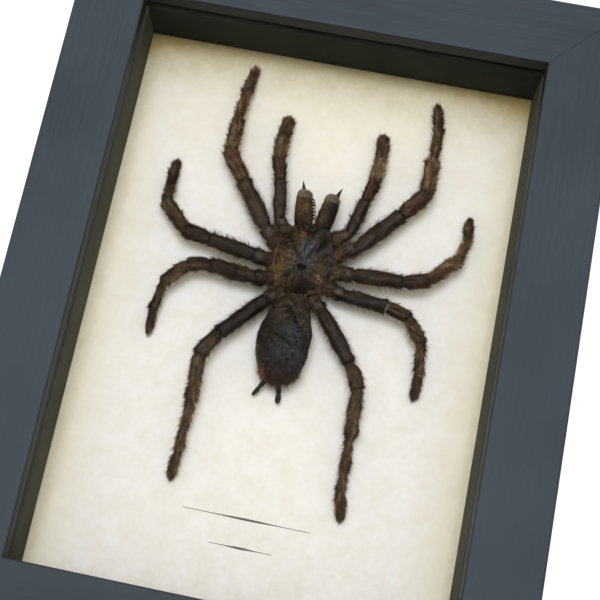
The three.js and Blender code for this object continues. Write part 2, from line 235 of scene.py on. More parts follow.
def paneGlass():
    # coated picture glass: what is behind it shows unbent, with a faint mirror on top
    material = bpy.data.materials.new("pane glass")
    look = emptyLook(material)
    through = look.put("ShaderNodeBsdfTransparent", {"Color": (0.988, 0.99, 0.984, 1)}).outputs[0]
    mirror = look.put("ShaderNodeBsdfGlossy", {"Roughness": 0.12}).outputs[0]
    share = look.put("ShaderNodeFresnel", {"IOR": 1.03}).outputs[0]
    both = look.put("ShaderNodeMixShader", {0: share, 1: through, 2: mirror}).outputs[0]
    look.put("ShaderNodeOutputMaterial", {0: both})
    return material


sheetLook = {
    "light": srgb(251, 247, 242),
    "dark": srgb(243, 236, 223),
    "warm": srgb(170, 150, 96),
    "cream": srgb(240, 230, 196),
    "wallShadow": srgb(84, 70, 42),
    "wall": (0.0068, 0.62),  # the painted shadow along the top wall: its reach and strength
    "cloud": 150.0,  # patches per metre
    "top": (0.022, 0.85),  # how far the edge tone reaches in, and how strong it is; partly toned paper, partly painted shade of the walls
    "side": (0.008, 0.2),
    "corner": (0.044, 0.58),
    "agedAndShaded": (0.048, 0.016, 0.75),  # the cream tone, partly aged paper and partly the painted warm colour of the walls' shade: its reach from the top and the sides, and its strength
}


def parchment():
    look = newLook("parchment", 0.85, 0.2)
    patch = look.use(clouds, Size=sheetLook["cloud"])
    fleck = look.use(specks, Scale=330.0, Share=0.05, Dot=0.2)
    fibre = look.use(grain, Stretch=(1, 1, 0.35), Fineness=900.0)
    tone = look.calc("ADD", look.times(patch["Broad"], 0.5), look.times(patch["Fine"], 0.5))
    color = look.mix(tone, sheetLook["dark"], sheetLook["light"])
    color = look.over(color, srgb(206, 196, 168), fibre["Pores"], 0.1)
    color = look.over(color, srgb(180, 166, 132), fleck["Mask"], 0.3)
    fromSide, fromTop, fromLow = insideSight(look)
    ragged = look.times(look.calc("SUBTRACT", tone, 0.4), 0.003)

    def fading(gap, reach):
        return look.spread(gap, 0.0, reach, (1.0, 0.0))

    # painted shade: the paper darkens and warms towards the walls and most of all into the top corners, together
    # with its toned edge
    edge = 0.0
    fromCorner = look.calc("ADD", fromSide, fromTop)
    for gap, (reach, strength) in ((fromTop, sheetLook["top"]), (fromSide, sheetLook["side"]),
                                   (fromLow, sheetLook["side"]), (fromCorner, sheetLook["corner"])):
        shade = look.times(look.calc("POWER", fading(look.calc("ADD", gap, ragged), reach), 2.0), strength)
        edge = look.calc("ADD" if gap is fromCorner else "MAXIMUM", shade, edge, clamp=True)
    # painted shade colour: the cream tone near the top and the sides, partly aged paper
    reachTop, reachSide, strength = sheetLook["agedAndShaded"]
    agedAndShaded = look.calc("MAXIMUM", fading(fromTop, reachTop), fading(fromSide, reachSide))
    color = look.mix(edge, look.over(color, sheetLook["cream"], agedAndShaded, strength), sheetLook["warm"])
    # painted shadow: a dark line along the top wall
    reach, strength = sheetLook["wall"]
    color = look.over(color, sheetLook["wallShadow"], look.calc("POWER", fading(fromTop, reach), 1.6), strength)
    return look.finish(color, normal=look.bump(patch["Fine"], 0.08, 0.00006))


def cloudy(name, roughness, specular, size, a, b, part="Fine", gloss=None, relief=None, sheen=0.0):
    # a plain stuff of two colours in soft patches
    look = newLook(name, roughness, specular, sheen=sheen)
    patch = look.use(clouds, Size=size)
    return look.finish(look.mix(patch[part], a, b), gloss and look.spread(patch["Broad"], 0, 1, gloss),
                       relief and look.bump(patch["Fine"], *relief))


def hardboard():
    look = newLook("hardboard", 0.7, 0.3)
    lines = look.use(grain, Stretch=(1, 1, 0.5), Fineness=1100.0)
    patch = look.use(clouds, Size=35.0)
    dots = look.use(specks, Scale=520.0, Share=0.25, Dot=0.3)
    color = look.mix(lines["Lines"], srgb(98, 72, 50), srgb(126, 96, 68))
    color = look.over(color, srgb(112, 88, 66), patch["Broad"], 0.4)
    color = look.over(color, srgb(60, 44, 32), dots["Mask"], 0.5)
    rough = look.spread(patch["Fine"], 0, 1, (0.6, 0.8))
    return look.finish(color, rough, look.bump(lines["Lines"], 0.25, 0.0001))


def zincSteel():
    look = newLook("zinc steel", 0.35, 0.5, metallic=1.0)
    lines = look.use(grain, Stretch=(0.15, 1, 1), Fineness=2600.0)
    patch = look.use(clouds, Size=350.0)
    color = look.mix(patch["Broad"], srgb(178, 180, 182), srgb(146, 148, 150))
    color = look.over(color, srgb(112, 110, 106), lines["Pores"], 0.4)
    rough = look.spread(patch["Fine"], 0, 1, (0.28, 0.5))
    return look.finish(color, rough, look.bump(lines["Lines"], 0.1, 0.00003))


def finishBox():
    across = paintedWood("painted wood, across", (rails["pull"], 1, 1))
    upright = paintedWood("painted wood, upright", (1, 1, rails["pull"]))
    liner = linerPaint("liner paint", srgb(82, 84, 74), srgb(72, 74, 65))
    steel = zincSteel()
    felt = cloudy("dark felt", 0.95, 0.1, 900.0, srgb(36, 36, 37), srgb(62, 61, 60),
                  relief=(0.6, 0.0002), sheen=0.3)
    pulp = cloudy("pulp board", 0.9, 0.2, 300.0, srgb(222, 216, 202), srgb(200, 192, 176), relief=(0.2, 0.0001))
    looks = {
        "rail_top": across, "rail_bottom": across, "rail_left": upright, "rail_right": upright,
        # the top liner takes a darker copy of the liner paint: painted shade under the top rail
        "liner_top": linerPaint("liner paint, painted shade", srgb(50, 52, 46), srgb(42, 43, 38)),
        "liner_bottom": liner, "liner_left": liner, "liner_right": liner,
        "pane": paneGlass(), "parchment": parchment(), "mount_board": pulp,
        "back_board": hardboard(), "hanger": steel,
    }
    for i in range(6):
        looks[f"point_{i + 1}"] = steel
    for side in ("left", "right"):
        looks["hanger_nail_" + side] = steel
        looks["bumper_" + side] = felt
    for name, material in looks.items():
        mesh = nodes[name].data
        mesh.materials.clear()
        mesh.materials.append(material)


finishBox()
print("box finished")

# Shapes from here on are in millimetres.
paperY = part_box("parchment")[0].y / mm
outward = np.array([0.0, -1.0, 0.0])  # off the paper, to the viewer


def unit(vectors):
    size = np.linalg.norm(vectors, axis=-1, keepdims=True)
    return vectors / np.maximum(size, 1e-9)


def noise(points, seed=0):
    # smooth noise in -1..1 from hashed corners of a unit lattice
    cell = np.floor(points).astype(np.int64)
    part = points - cell
    part = part * part * (3 - 2 * part)
    total = np.zeros(points.shape[:-1])
    for corner in np.ndindex(2, 2, 2):
        at = cell + np.array(corner)
        h = at[..., 0] * 374761393 + at[..., 1] * 668265263 + at[..., 2] * 1440662683 + seed * 974634777
        h = (h ^ (h >> 13)) * 1274126177
        h = h ^ (h >> 16)
        value = (h & 0xFFFFFF) / 0xFFFFFF * 2 - 1
        weight = np.ones(points.shape[:-1])
        for axis in range(3):
            weight = weight * (part[..., axis] if corner[axis] else 1 - part[..., axis])
        total += value * weight
    return total


def bell(distance, width):
    return np.exp(-((distance / width) ** 2))


def smoothStep(x, low, high):
    t = np.clip((x - low) / (high - low), 0, 1)
    return t * t * (3 - 2 * t)


def alongStations(stations, steps, tension=0.4):
    # a smooth curve through every station, all its numbers carried along
    s = np.array(stations, float)
    s = np.vstack([2 * s[0] - s[1], s, 2 * s[-1] - s[-2]])
    rows = []
    for i in range(1, len(s) - 2):
        t = (np.arange(steps) / steps)[:, None]
        leave = tension * (s[i + 1] - s[i - 1])
        arrive = tension * (s[i + 2] - s[i])
        rows.append((2 * t**3 - 3 * t**2 + 1) * s[i] + (t**3 - 2 * t**2 + t) * leave
                    + (3 * t**2 - 2 * t**3) * s[i + 1] + (t**3 - t**2) * arrive)
    rows.append(s[-2:-1])
    return np.vstack(rows)


def onPaper(x, z, lift):
    return np.stack([x, paperY - lift, z], -1)


def frameAlong(path):
    tangent = unit(np.gradient(path, axis=0))
    across = unit(np.cross(tangent, outward))
    return across, np.cross(across, tangent)


def ringsAlong(path, halfWidth, halfThick, sides, squareness=2.0):
    # rings round a path; each starts underneath, so that the seam is out of sight
    across, up = frameAlong(path)
    angle = np.arange(sides) / sides * 2 * math.pi - math.pi / 2
    c, s = np.cos(angle), np.sin(angle)
    c = np.sign(c) * np.abs(c) ** (2 / squareness)
    s = np.sign(s) * np.abs(s) ** (2 / squareness)
    ring = (across[:, None] * c[None, :, None] * halfWidth[:, None, None]
            + up[:, None] * s[None, :, None] * halfThick[:, None, None])
    return path[:, None] + ring, angle


def ringsOver(rows, sides, squareness=2.0):
    # rows: x, z, lift, half width and half thickness
    x, z, lift, wide, thick = rows.T
    return ringsAlong(onPaper(x, z, lift), wide, thick, sides, squareness)


def gridNormals(grid):
    along = np.gradient(grid, axis=0)
    around = np.roll(grid, -1, axis=1) - np.roll(grid, 1, axis=1)
    normal = unit(np.cross(along, around))
    centre = grid.mean(axis=1, keepdims=True)
    facing = (normal * (grid - centre)).sum(-1).sum()
    return normal if facing > 0 else -normal


def buildMesh(name, verts, faces, uv=None):
    # faces: arrays of corner numbers, one array for each count of corners
    mesh = bpy.data.meshes.new(name)
    corners = np.concatenate([f.ravel() for f in faces]).astype(np.int32)
    sizes = np.concatenate([np.full(len(f), f.shape[1]) for f in faces])
    starts = np.concatenate([[0], np.cumsum(sizes)[:-1]]).astype(np.int32)
    mesh.vertices.add(len(verts))
    mesh.vertices.foreach_set("co", (verts * mm).astype(np.float32).ravel())
    mesh.loops.add(len(corners))
    mesh.loops.foreach_set("vertex_index", corners)
    mesh.polygons.add(len(starts))
    mesh.polygons.foreach_set("loop_start", starts)
    if uv is not None:
        layer = mesh.uv_layers.new(name=bakeMap)
        layer.uv.foreach_set("vector", np.concatenate(uv).astype(np.float32).ravel())
    mesh.update(calc_edges=True)
    return mesh


def addAttributes(mesh, values):
    for name, data in values.items():
        data = np.asarray(data, np.float32)
        if data.ndim == 1:
            mesh.attributes.new(name, "FLOAT", "POINT").data.foreach_set("value", data)
        elif data.shape[1] == 3:
            mesh.attributes.new(name, "FLOAT_VECTOR", "POINT").data.foreach_set("vector", data.ravel())
        else:
            mesh.attributes.new(name, "FLOAT_COLOR", "POINT").data.foreach_set("color", data.ravel())


def newObject(name, data):
    made = bpy.data.objects.new(name, data)
    bpy.context.scene.collection.objects.link(made)
    return made


def placePiece(name, mesh, material, replaced=(), smooth=True):
    mesh.materials.append(material)
    mesh.polygons.foreach_set("use_smooth", np.full(len(mesh.polygons), smooth))
    piece = newObject(name, mesh)
    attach(piece, "root")
    if replaced:
        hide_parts(*replaced)
    return piece


def gridMesh(name, grid, values=None):
    # a closed skin over rings, with a fan at each end
    rows, sides = grid.shape[:2]
    verts = np.vstack([grid.reshape(-1, 3), grid[0].mean(0), grid[-1].mean(0)])
    i, j = np.meshgrid(np.arange(rows - 1), np.arange(sides), indexing="ij")
    i, j = i.ravel(), j.ravel()
    k = (j + 1) % sides
    quads = np.stack([i * sides + j, (i + 1) * sides + j, (i + 1) * sides + k, i * sides + k], -1)
    quadUv = np.stack([np.stack([i + a, j + b], -1) for a, b in ((0, 0), (1, 0), (1, 1), (0, 1))], 1)
    edge = np.arange(sides)
    after = (edge + 1) % sides
    first, last = rows * sides, rows * sides + 1
    ends = np.vstack([
        np.stack([edge, after, np.full(sides, first)], -1),
        np.stack([(rows - 1) * sides + after, (rows - 1) * sides + edge, np.full(sides, last)], -1),
    ])
    endUv = np.vstack([
        np.stack([np.stack([edge * 0 + a, edge + b], -1) for a, b in ((1, 0), (1, 1), (0, 0.5))], 1),
        np.stack([np.stack([edge * 0 + rows - 1 + a, edge + b], -1) for a, b in ((0, 1), (0, 0), (1, 0.5))], 1),
    ])
    volume = np.einsum("ij,ij->", verts[quads[:, 0]], np.cross(verts[quads[:, 1]], verts[quads[:, 2]]))
    volume += np.einsum("ij,ij->", verts[quads[:, 0]], np.cross(verts[quads[:, 2]], verts[quads[:, 3]]))
    if volume < 0:
        quads, quadUv = quads[:, ::-1], quadUv[:, ::-1]
        ends, endUv = ends[:, ::-1], endUv[:, ::-1]
    scale = np.array([rows, sides], float)
    uv = [(quadUv / scale).reshape(-1, 2), (endUv / scale).reshape(-1, 2)]
    mesh = buildMesh(name, verts, [quads, ends], uv)
    full = {}
    for key, data in (values or {}).items():
        flat = data.reshape(rows * sides, *data.shape[2:])
        full[key] = np.concatenate([flat, [data[0].mean(0)], [data[-1].mean(0)]])
    addAttributes(mesh, full)
    return mesh


def scatter(grid, weight, count, rng):
    # random places on a ring grid: place, normal and the way along it
    normal = gridNormals(grid)
    along = unit(np.gradient(grid, axis=0))
    step = np.linalg.norm(np.diff(grid, axis=0), axis=-1)
    width = np.linalg.norm(np.roll(grid, -1, axis=1) - grid, axis=-1)[:-1]
    chance = (step * width * weight[:-1]).ravel()
    pick = rng.choice(len(chance), count, p=chance / chance.sum())
    i, j = np.divmod(pick, grid.shape[1])
    k = (j + 1) % grid.shape[1]
    a, b = rng.random((2, count, 1))

    def between(field):
        near = field[i, j] * (1 - b) + field[i, k] * b
        far = field[i + 1, j] * (1 - b) + field[i + 1, k] * b
        return near * (1 - a) + far * a

    return between(grid), unit(between(normal)), unit(between(along)), i, j


def growHairs(roots, normals, flow, look, rng, key=0.5, tone=0.5):
    # look: length and radius in mm, rise off the skin in degrees, each a (low, high) pair, bend, and the
    # strands of a clump; key, 0 to 1, is the place on the palette, and tone how pale the hair is
    n = len(roots)
    length = rng.uniform(*look["length"], n)[:, None]
    radius = rng.uniform(*look["radius"], n)[:, None]
    rise = np.radians(rng.uniform(*look["rise"], n))[:, None]
    stray = rng.normal(0, look["stray"], (n, 3))
    side = unit(flow - normals * (flow * normals).sum(-1, keepdims=True) + stray)
    start = unit(side * np.cos(rise) + normals * np.sin(rise))
    later = unit(start + side * look.get("bend", 0))
    base = roots - normals * 0.06
    middle = base + start * length * 0.5
    tip = middle + later * length * 0.5
    tone = np.clip(tone + rng.uniform(-0.28, 0.28, n), 0, 0.999) * np.ones(n)
    key = np.broadcast_to(key, n)
    strands = look.get("strands", 1)
    if strands > 1:
        # the strands of a clump start apart and meet at its tip
        base, middle, tip, normals, start, radius, tone, key = (
            np.repeat(item, strands, axis=0) for item in (base, middle, tip, normals, start, radius, tone, key))
        apart = rng.normal(0, look["apart"], base.shape)
        apart -= normals * (apart * normals).sum(-1, keepdims=True)
        base, middle, tip = base + apart, middle + apart * 0.6, tip + apart * 0.25
    e1 = unit(np.cross(start, normals + 1e-4))
    e2 = np.cross(e1, start)
    ring = [e1, -0.5 * e1 + 0.87 * e2, -0.5 * e1 - 0.87 * e2]
    if "bend" in look:
        verts = [base + r * radius for r in ring] + [middle + r * radius * 0.75 for r in ring] + [tip]
        along = [0, 0, 0, 0.5, 0.5, 0.5, 1]
        cell = [(0, 2, 1)]
        for a, b in ((0, 1), (1, 2), (2, 0)):
            cell += [(a, b, b + 3), (a, b + 3, a + 3), (a + 3, b + 3, 6)]
    else:
        verts = [base + r * radius for r in ring] + [tip]
        along = [0, 0, 0, 1]
        cell = [(0, 2, 1), (0, 1, 3), (1, 2, 3), (2, 0, 3)]
    verts = np.stack(verts, 1)
    count, size = verts.shape[:2]
    tris = (np.arange(count) * size)[:, None, None] + np.array(cell)[None]
    return {
        "verts": verts.reshape(-1, 3), "tris": tris.reshape(-1, 3), "along": np.tile(along, count),
        "tone": np.repeat((tone * toneLevels).astype(int), size), "key": np.repeat(key, size),
        "corner": np.tile(np.arange(size) % 3, count),
    }


def hairPiece(name, tufts, palette):
    # palette: one colour, or a row of colours that the keys run along
    start = np.cumsum([0] + [len(tuft["verts"]) for tuft in tufts])
    tris = np.vstack([tuft["tris"] + first for tuft, first in zip(tufts, start)])
    verts = np.vstack([tuft["verts"] for tuft in tufts])
    along, tone, key, corner = (np.concatenate([tuft[part] for tuft in tufts])
                                for part in ("along", "tone", "key", "corner"))
    # hairs of one key and tone share a place on the map, where their colours are the same
    u = 0.01 + 0.97 * key + 0.004 * corner
    v = (tone + 0.15 + 0.65 * along + 0.08 * (corner == 1)) / toneLevels
    flat = np.stack([u, v], -1)
    mesh = buildMesh(name, verts, [tris], [flat[tris].reshape(-1, 2)])
    palette = np.atleast_2d(palette)
    at = key * (len(palette) - 1)
    tint = np.stack([np.interp(at, np.arange(len(palette)), palette[:, k]) for k in range(4)], -1)
    addAttributes(mesh, {"tone": tone / (toneLevels - 1), "along": along, "tint": tint})
    return placePiece(name, mesh, hairLook, smooth=False)


def hairOn(name, color, grid, weight, look, rng, tone=0.5):
    # a piece of one kind of hair, all of one colour
    roots, normals, flow, *_ = scatter(grid, weight, look["count"], rng)
    hairPiece(name, [growHairs(roots, normals, flow, look, rng, tone=tone)], hairColors[color])


def hairFinish():
    # dark at the root; a hair's own tone says how pale its tip is
    look = newLook("hair", 0.6, 0.11)
    tint = look.attribute("tint", "Color")
    root = look.scaled(tint, (0.42, 0.4, 0.4))
    pale = look.calc("ADD", 0.3, look.times(look.calc("POWER", look.attribute("tone"), 2.0), 2.6))
    tip = look.put("ShaderNodeVectorMath", {0: tint, "Scale": pale}, operation="SCALE").outputs[0]
    return look.finish(look.mix(look.spread(look.attribute("along"), 0.0, 0.75), root, tip))


def limbFinish():
    # coat: each part's own colour; bald: pale bare places, and a painted highlight on each trochanter; gloss;
    # grainAt: mm along and round the limb
    look = newLook("limb cuticle", 0.52, 0.22)
    where = look.attribute("grainAt", "Vector")
    lines = look.use(grain, Place=where, Stretch=(0.35, 3.2, 1), Fineness=1.3)
    patch = look.use(clouds, Place=where, Size=0.35)
    coat = look.attribute("coat", "Color")
    dark, pale = look.scaled(coat, (0.24, 0.23, 0.24)), look.scaled(coat, (1.1, 1.08, 1.05))
    color = look.mix(lines["Lines"], dark, pale)
    color = look.over(color, srgb(26, 21, 19), patch["Broad"], 0.35)
    baldAndHighlight = look.calc("MULTIPLY", look.attribute("baldAndHighlight"), 0.75, clamp=True)
    color = look.mix(baldAndHighlight, color, look.mix(patch["Fine"], srgb(44, 40, 36), srgb(122, 114, 106)))
    rough = look.spread(look.attribute("gloss"), 0, 1, (0.56, 0.35))
    return look.finish(color, rough, look.bump(lines["Lines"], 0.55, 0.00012))


def shieldFinish(name, relief, gloss):
    # for the large smooth pieces: tint is their painted ground colour
    look = newLook(name, gloss, 0.2)
    patch = look.use(clouds, Size=260.0)
    tint = look.attribute("tint", "Color")
    color = look.mix(patch["Fine"], look.scaled(tint, (0.3, 0.3, 0.31)), look.scaled(tint, (1.5, 1.47, 1.42)))
    rough = look.spread(patch["Broad"], 0, 1, (gloss - 0.06, gloss + 0.1))
    return look.finish(color, rough, look.bump(patch["Fine"], relief, 0.0001))


def hornFinish(name, dark, pale):
    return cloudy(name, 0.2, 0.6, 700.0, dark, pale, gloss=(0.16, 0.3))


skinLooks = {
    "limb": limbFinish(),
    "shield": shieldFinish("carapace cuticle", 0.5, 0.46),
    "belly": shieldFinish("abdomen skin", 0.6, 0.5),
    "jaw": shieldFinish("jaw cuticle", 0.4, 0.5),
    "horn": hornFinish("black horn", srgb(20, 18, 18), srgb(38, 33, 31)),
    "pearl": hornFinish("pearly eye", srgb(150, 146, 140), srgb(210, 205, 198)),
}
hairLook = hairFinish()
hairColors = {
    "grey": srgb(112, 99, 84), "dark": srgb(46, 37, 30), "rust": srgb(96, 67, 45),
    "rim": srgb(132, 104, 88), "brown": srgb(70, 55, 41),
}


def skinPiece(name, grid, values, finish, node):
    placePiece(name, gridMesh(name, grid, values), skinLooks[finish], [node])


# Places on the paper are [x, z]; a run gives each part's length and its heading in degrees.
legs = {
    "leg_1_left": {"root": [-6.9, 129.4], "hip": [-11.9, 134.2], "stout": 1.0, "tone": 1.2,
                   "shades": {"femur": 1.4, "patella": 1.7, "tarsus": 1.3},
                   "run": [[16.7, 126], [10.3, 125], [11.5, 90], [11.2, 87], [9.1, 84]]},
    "leg_2_left": {"root": [-6.6, 124.5], "hip": [-13.8, 124.9], "stout": 0.95, "tone": 0.62, "seams": [5.0],
                   "shades": {"femur": 1.5, "tibia": 1.2, "metatarsus": 0.7},
                   "run": [[14.4, 171], [7.7, 170], [11.4, 134], [6.6, 95], [8.7, 88]]},
    "leg_3_left": {"root": [-5.8, 119.5], "hip": [-12.0, 117.8], "stout": 0.92, "tone": 0.82, "furry": 2.6,
                   "shades": {"femur": 1.6, "tibia": 1.3, "metatarsus": 0.7},
                   "run": [[14.1, 174], [6.7, 191], [8.8, 226], [8.8, 258], [6.8, 270]]},
    "leg_4_left": {"root": [-2.7, 115.1], "hip": [-7.0, 112.4], "stout": 0.92, "tone": 1.0, "furry": 1.5,
                   "seams": [6.0],
                   "shades": {"femur": 0.6, "tibia": 1.2, "metatarsus": 1.3, "tarsus": 1.5},
                   "run": [[18.2, 228], [8.7, 241], [13.8, 272], [15.2, 267], [8.0, 266]]},
    "leg_1_right": {"root": [10.0, 129.4], "hip": [16.1, 132.9], "stout": 1.0, "tone": 1.15,
                    "shades": {"patella": 1.2, "tibia": 1.2},
                   "run": [[17.6, 48], [10.2, 53], [11.4, 89], [11.6, 89], [9.1, 101]]},
    "leg_2_right": {"root": [9.7, 124.5], "hip": [16.6, 124.6], "stout": 0.92, "tone": 0.95, "seams": [5.0],
                    "shades": {"femur": 1.3, "patella": 0.8, "tibia": 1.6, "metatarsus": 1.3},
                   "run": [[15.1, 2], [7.6, 13], [11.7, 48], [7.6, 75], [7.5, 92]]},
    "leg_3_right": {"root": [8.9, 119.6], "hip": [15.2, 117.5], "stout": 0.9, "tone": 0.82, "seams": [3.0],
                    "shades": {"tibia": 1.3},
                   "run": [[13.3, -4], [7.0, -17], [8.3, -51], [9.7, -84], [6.5, -92]]},
    "leg_4_right": {"root": [5.8, 115.1], "hip": [9.5, 111.8], "stout": 0.92, "tone": 1.02,
                    "shades": {"patella": 1.5, "tarsus": 1.6},
                   "run": [[18.5, -52], [8.0, -62], [13.8, -89], [16.0, -89], [8.2, -80]]},
}
palps = {
    "palp_left": {"root": [-5.4, 133.9], "hip": [-8.7, 138.0], "stout": 0.76, "tone": 1.0,
                  "shades": {"femur": 1.3},
                  "run": [[12.2, 99], [7.2, 105], [8.0, 92], [8.0, 86]]},
    "palp_right": {"root": [8.6, 134.3], "hip": [13.3, 137.1], "stout": 0.76, "tone": 1.15,
                   "shades": {"tibia": 1.3},
                   "run": [[11.5, 76], [7.2, 75], [8.0, 86], [9.3, 94]]},
}
legParts = {
    "names": ["coxa", "trochanter", "femur", "patella", "tibia", "metatarsus", "tarsus"],
    "girth": [2.4, 2.3, 2.35, 2.15, 1.8, 1.25, 1.2],
    "lift": [6.0, 6.4, 7.0, 7.4, 7.6, 6.2, 3.9, 2.1],
}
palpParts = {
    "names": ["coxa", "trochanter", "femur", "patella", "tibia", "tarsus"],
    "girth": [2.7, 2.5, 2.5, 2.3, 2.3, 2.1],
    "lift": [6.0, 6.4, 7.0, 7.4, 6.4, 4.4, 2.2],
}
# Girth along each part, as (place, share of the part's girth).
outlines = {
    "coxa": [(0, 0.9), (0.3, 1.05), (0.7, 1.06), (0.92, 0.96), (1, 0.76)],
    "trochanter": [(0, 0.76), (0.15, 0.96), (0.5, 1.05), (0.85, 0.94), (1, 0.74)],
    "femur": [(0, 0.72), (0.05, 0.86), (0.2, 0.98), (0.5, 1.02), (0.78, 0.93), (0.93, 0.98), (0.975, 0.96),
              (1, 0.72)],
    "patella": [(0, 0.72), (0.05, 0.85), (0.3, 0.96), (0.7, 1.04), (0.93, 1.04), (0.98, 0.96), (1, 0.76)],
    "tibia": [(0, 0.74), (0.05, 0.9), (0.3, 1.02), (0.75, 1.04), (0.94, 1.0), (0.985, 0.94), (1, 0.74)],
    "metatarsus": [(0, 0.76), (0.06, 0.92), (0.3, 1.0), (0.75, 1.0), (0.95, 1.03), (1, 0.8)],
    "tarsus": [(0, 0.82), (0.08, 1.0), (0.4, 1.06), (0.65, 1.04), (0.85, 0.94), (0.95, 0.74), (1, 0.3)],
}
coatColors = {
    "coxa": srgb(84, 67, 47), "trochanter": srgb(70, 56, 44), "femur": srgb(57, 43, 30),
    "patella": srgb(78, 56, 38), "tibia": srgb(100, 79, 56), "metatarsus": srgb(103, 80, 57),
    "tarsus": srgb(86, 67, 49),
}
palpColors = {"patella": srgb(74, 49, 31), "tibia": srgb(114, 94, 68), "tarsus": srgb(86, 67, 49)}
# how thick each part's coat, tufts and long side hairs are
hairShare = {
    "coxa": (0.5, 0.3, 0.3), "trochanter": (0.6, 0.3, 0.5), "femur": (0.24, 0.06, 1.3),
    "patella": (0.7, 0.3, 0.6), "tibia": (1.1, 1.0, 0.8), "metatarsus": (1.2, 1.3, 0.7),
    "tarsus": (1.3, 0.9, 0.3),
}

limbMesh = {
    "step": 0.3, "sides": 32, "bend": 0.75, "flat": 0.93, "thinnest": 0.12,
    # dents and ridges: depth, size round and along the limb, and what is added to the seed
    "dents": [(0.24, 2.2, 3.4, 0), (0.17, 0.9, 1.7, 7), (0.045, 0.35, 0.7, 11)],
    # the paired furrows on the upper side: angle off the top, width in radians, and depth
    "furrows": (0.4, 0.16, 0.14),
    "collar": 0.2,  # the swelling before a joint
    "torn": srgb(196, 178, 160),
}
limbHair = {
    "coat": {"perMm": 120, "length": (0.8, 1.7), "radius": (0.034, 0.064), "rise": (3, 17), "stray": 0.18},
    "locks": {"perMm": 16, "length": (1.4, 2.7), "radius": (0.07, 0.115), "rise": (2, 10), "stray": 0.16},
    "tufts": {"perMm": 7, "length": (1.2, 2.1), "radius": (0.04, 0.06), "rise": (20, 44), "bend": 0.4,
              "stray": 0.3, "strands": 5, "apart": 0.24},
    "fringe": {"perMm": 14, "length": (1.0, 2.5), "radius": (0.018, 0.03), "rise": (50, 84), "bend": 0.5,
               "stray": 0.3},
}


def blur(rows, sigma):
    # smooths along a path, its ends held where they are
    reach = int(math.ceil(3 * sigma))
    kernel = np.exp(-0.5 * (np.arange(-reach, reach + 1) / sigma) ** 2)
    kernel /= kernel.sum()
    wide = rows.reshape(len(rows), -1)
    before = 2 * wide[0] - wide[reach:0:-1]
    after = 2 * wide[-1] - wide[-2:-reach - 2:-1]
    padded = np.vstack([before, wide, after])
    done = np.stack([np.convolve(column, kernel, "valid") for column in padded.T], -1)
    return done.reshape(rows.shape)


def limbKnots(limb, lifts):
    (rootX, rootZ), (hipX, hipZ) = limb["root"], limb["hip"]
    places = [(rootX, rootZ), ((rootX + hipX) / 2, (rootZ + hipZ) / 2), (hipX, hipZ)]
    for length, heading in limb["run"]:
        turn = math.radians(heading)
        x, z = places[-1]
        places.append((x + length * math.cos(turn), z + length * math.sin(turn)))
    flat = np.array(places)
    return onPaper(flat[:, 0], flat[:, 1], np.array(lifts))


def limbPath(knots, step):
    path, part = [], []
    for i in range(len(knots) - 1):
        count = max(6, round(np.linalg.norm(knots[i + 1] - knots[i]) / step))
        t = np.arange(count) / count
        path.append(knots[i] + (knots[i + 1] - knots[i]) * t[:, None])
        part.append(i + t)
    path.append(knots[-1:])
    part.append([len(knots) - 1])
    return np.vstack(path), np.concatenate(part)


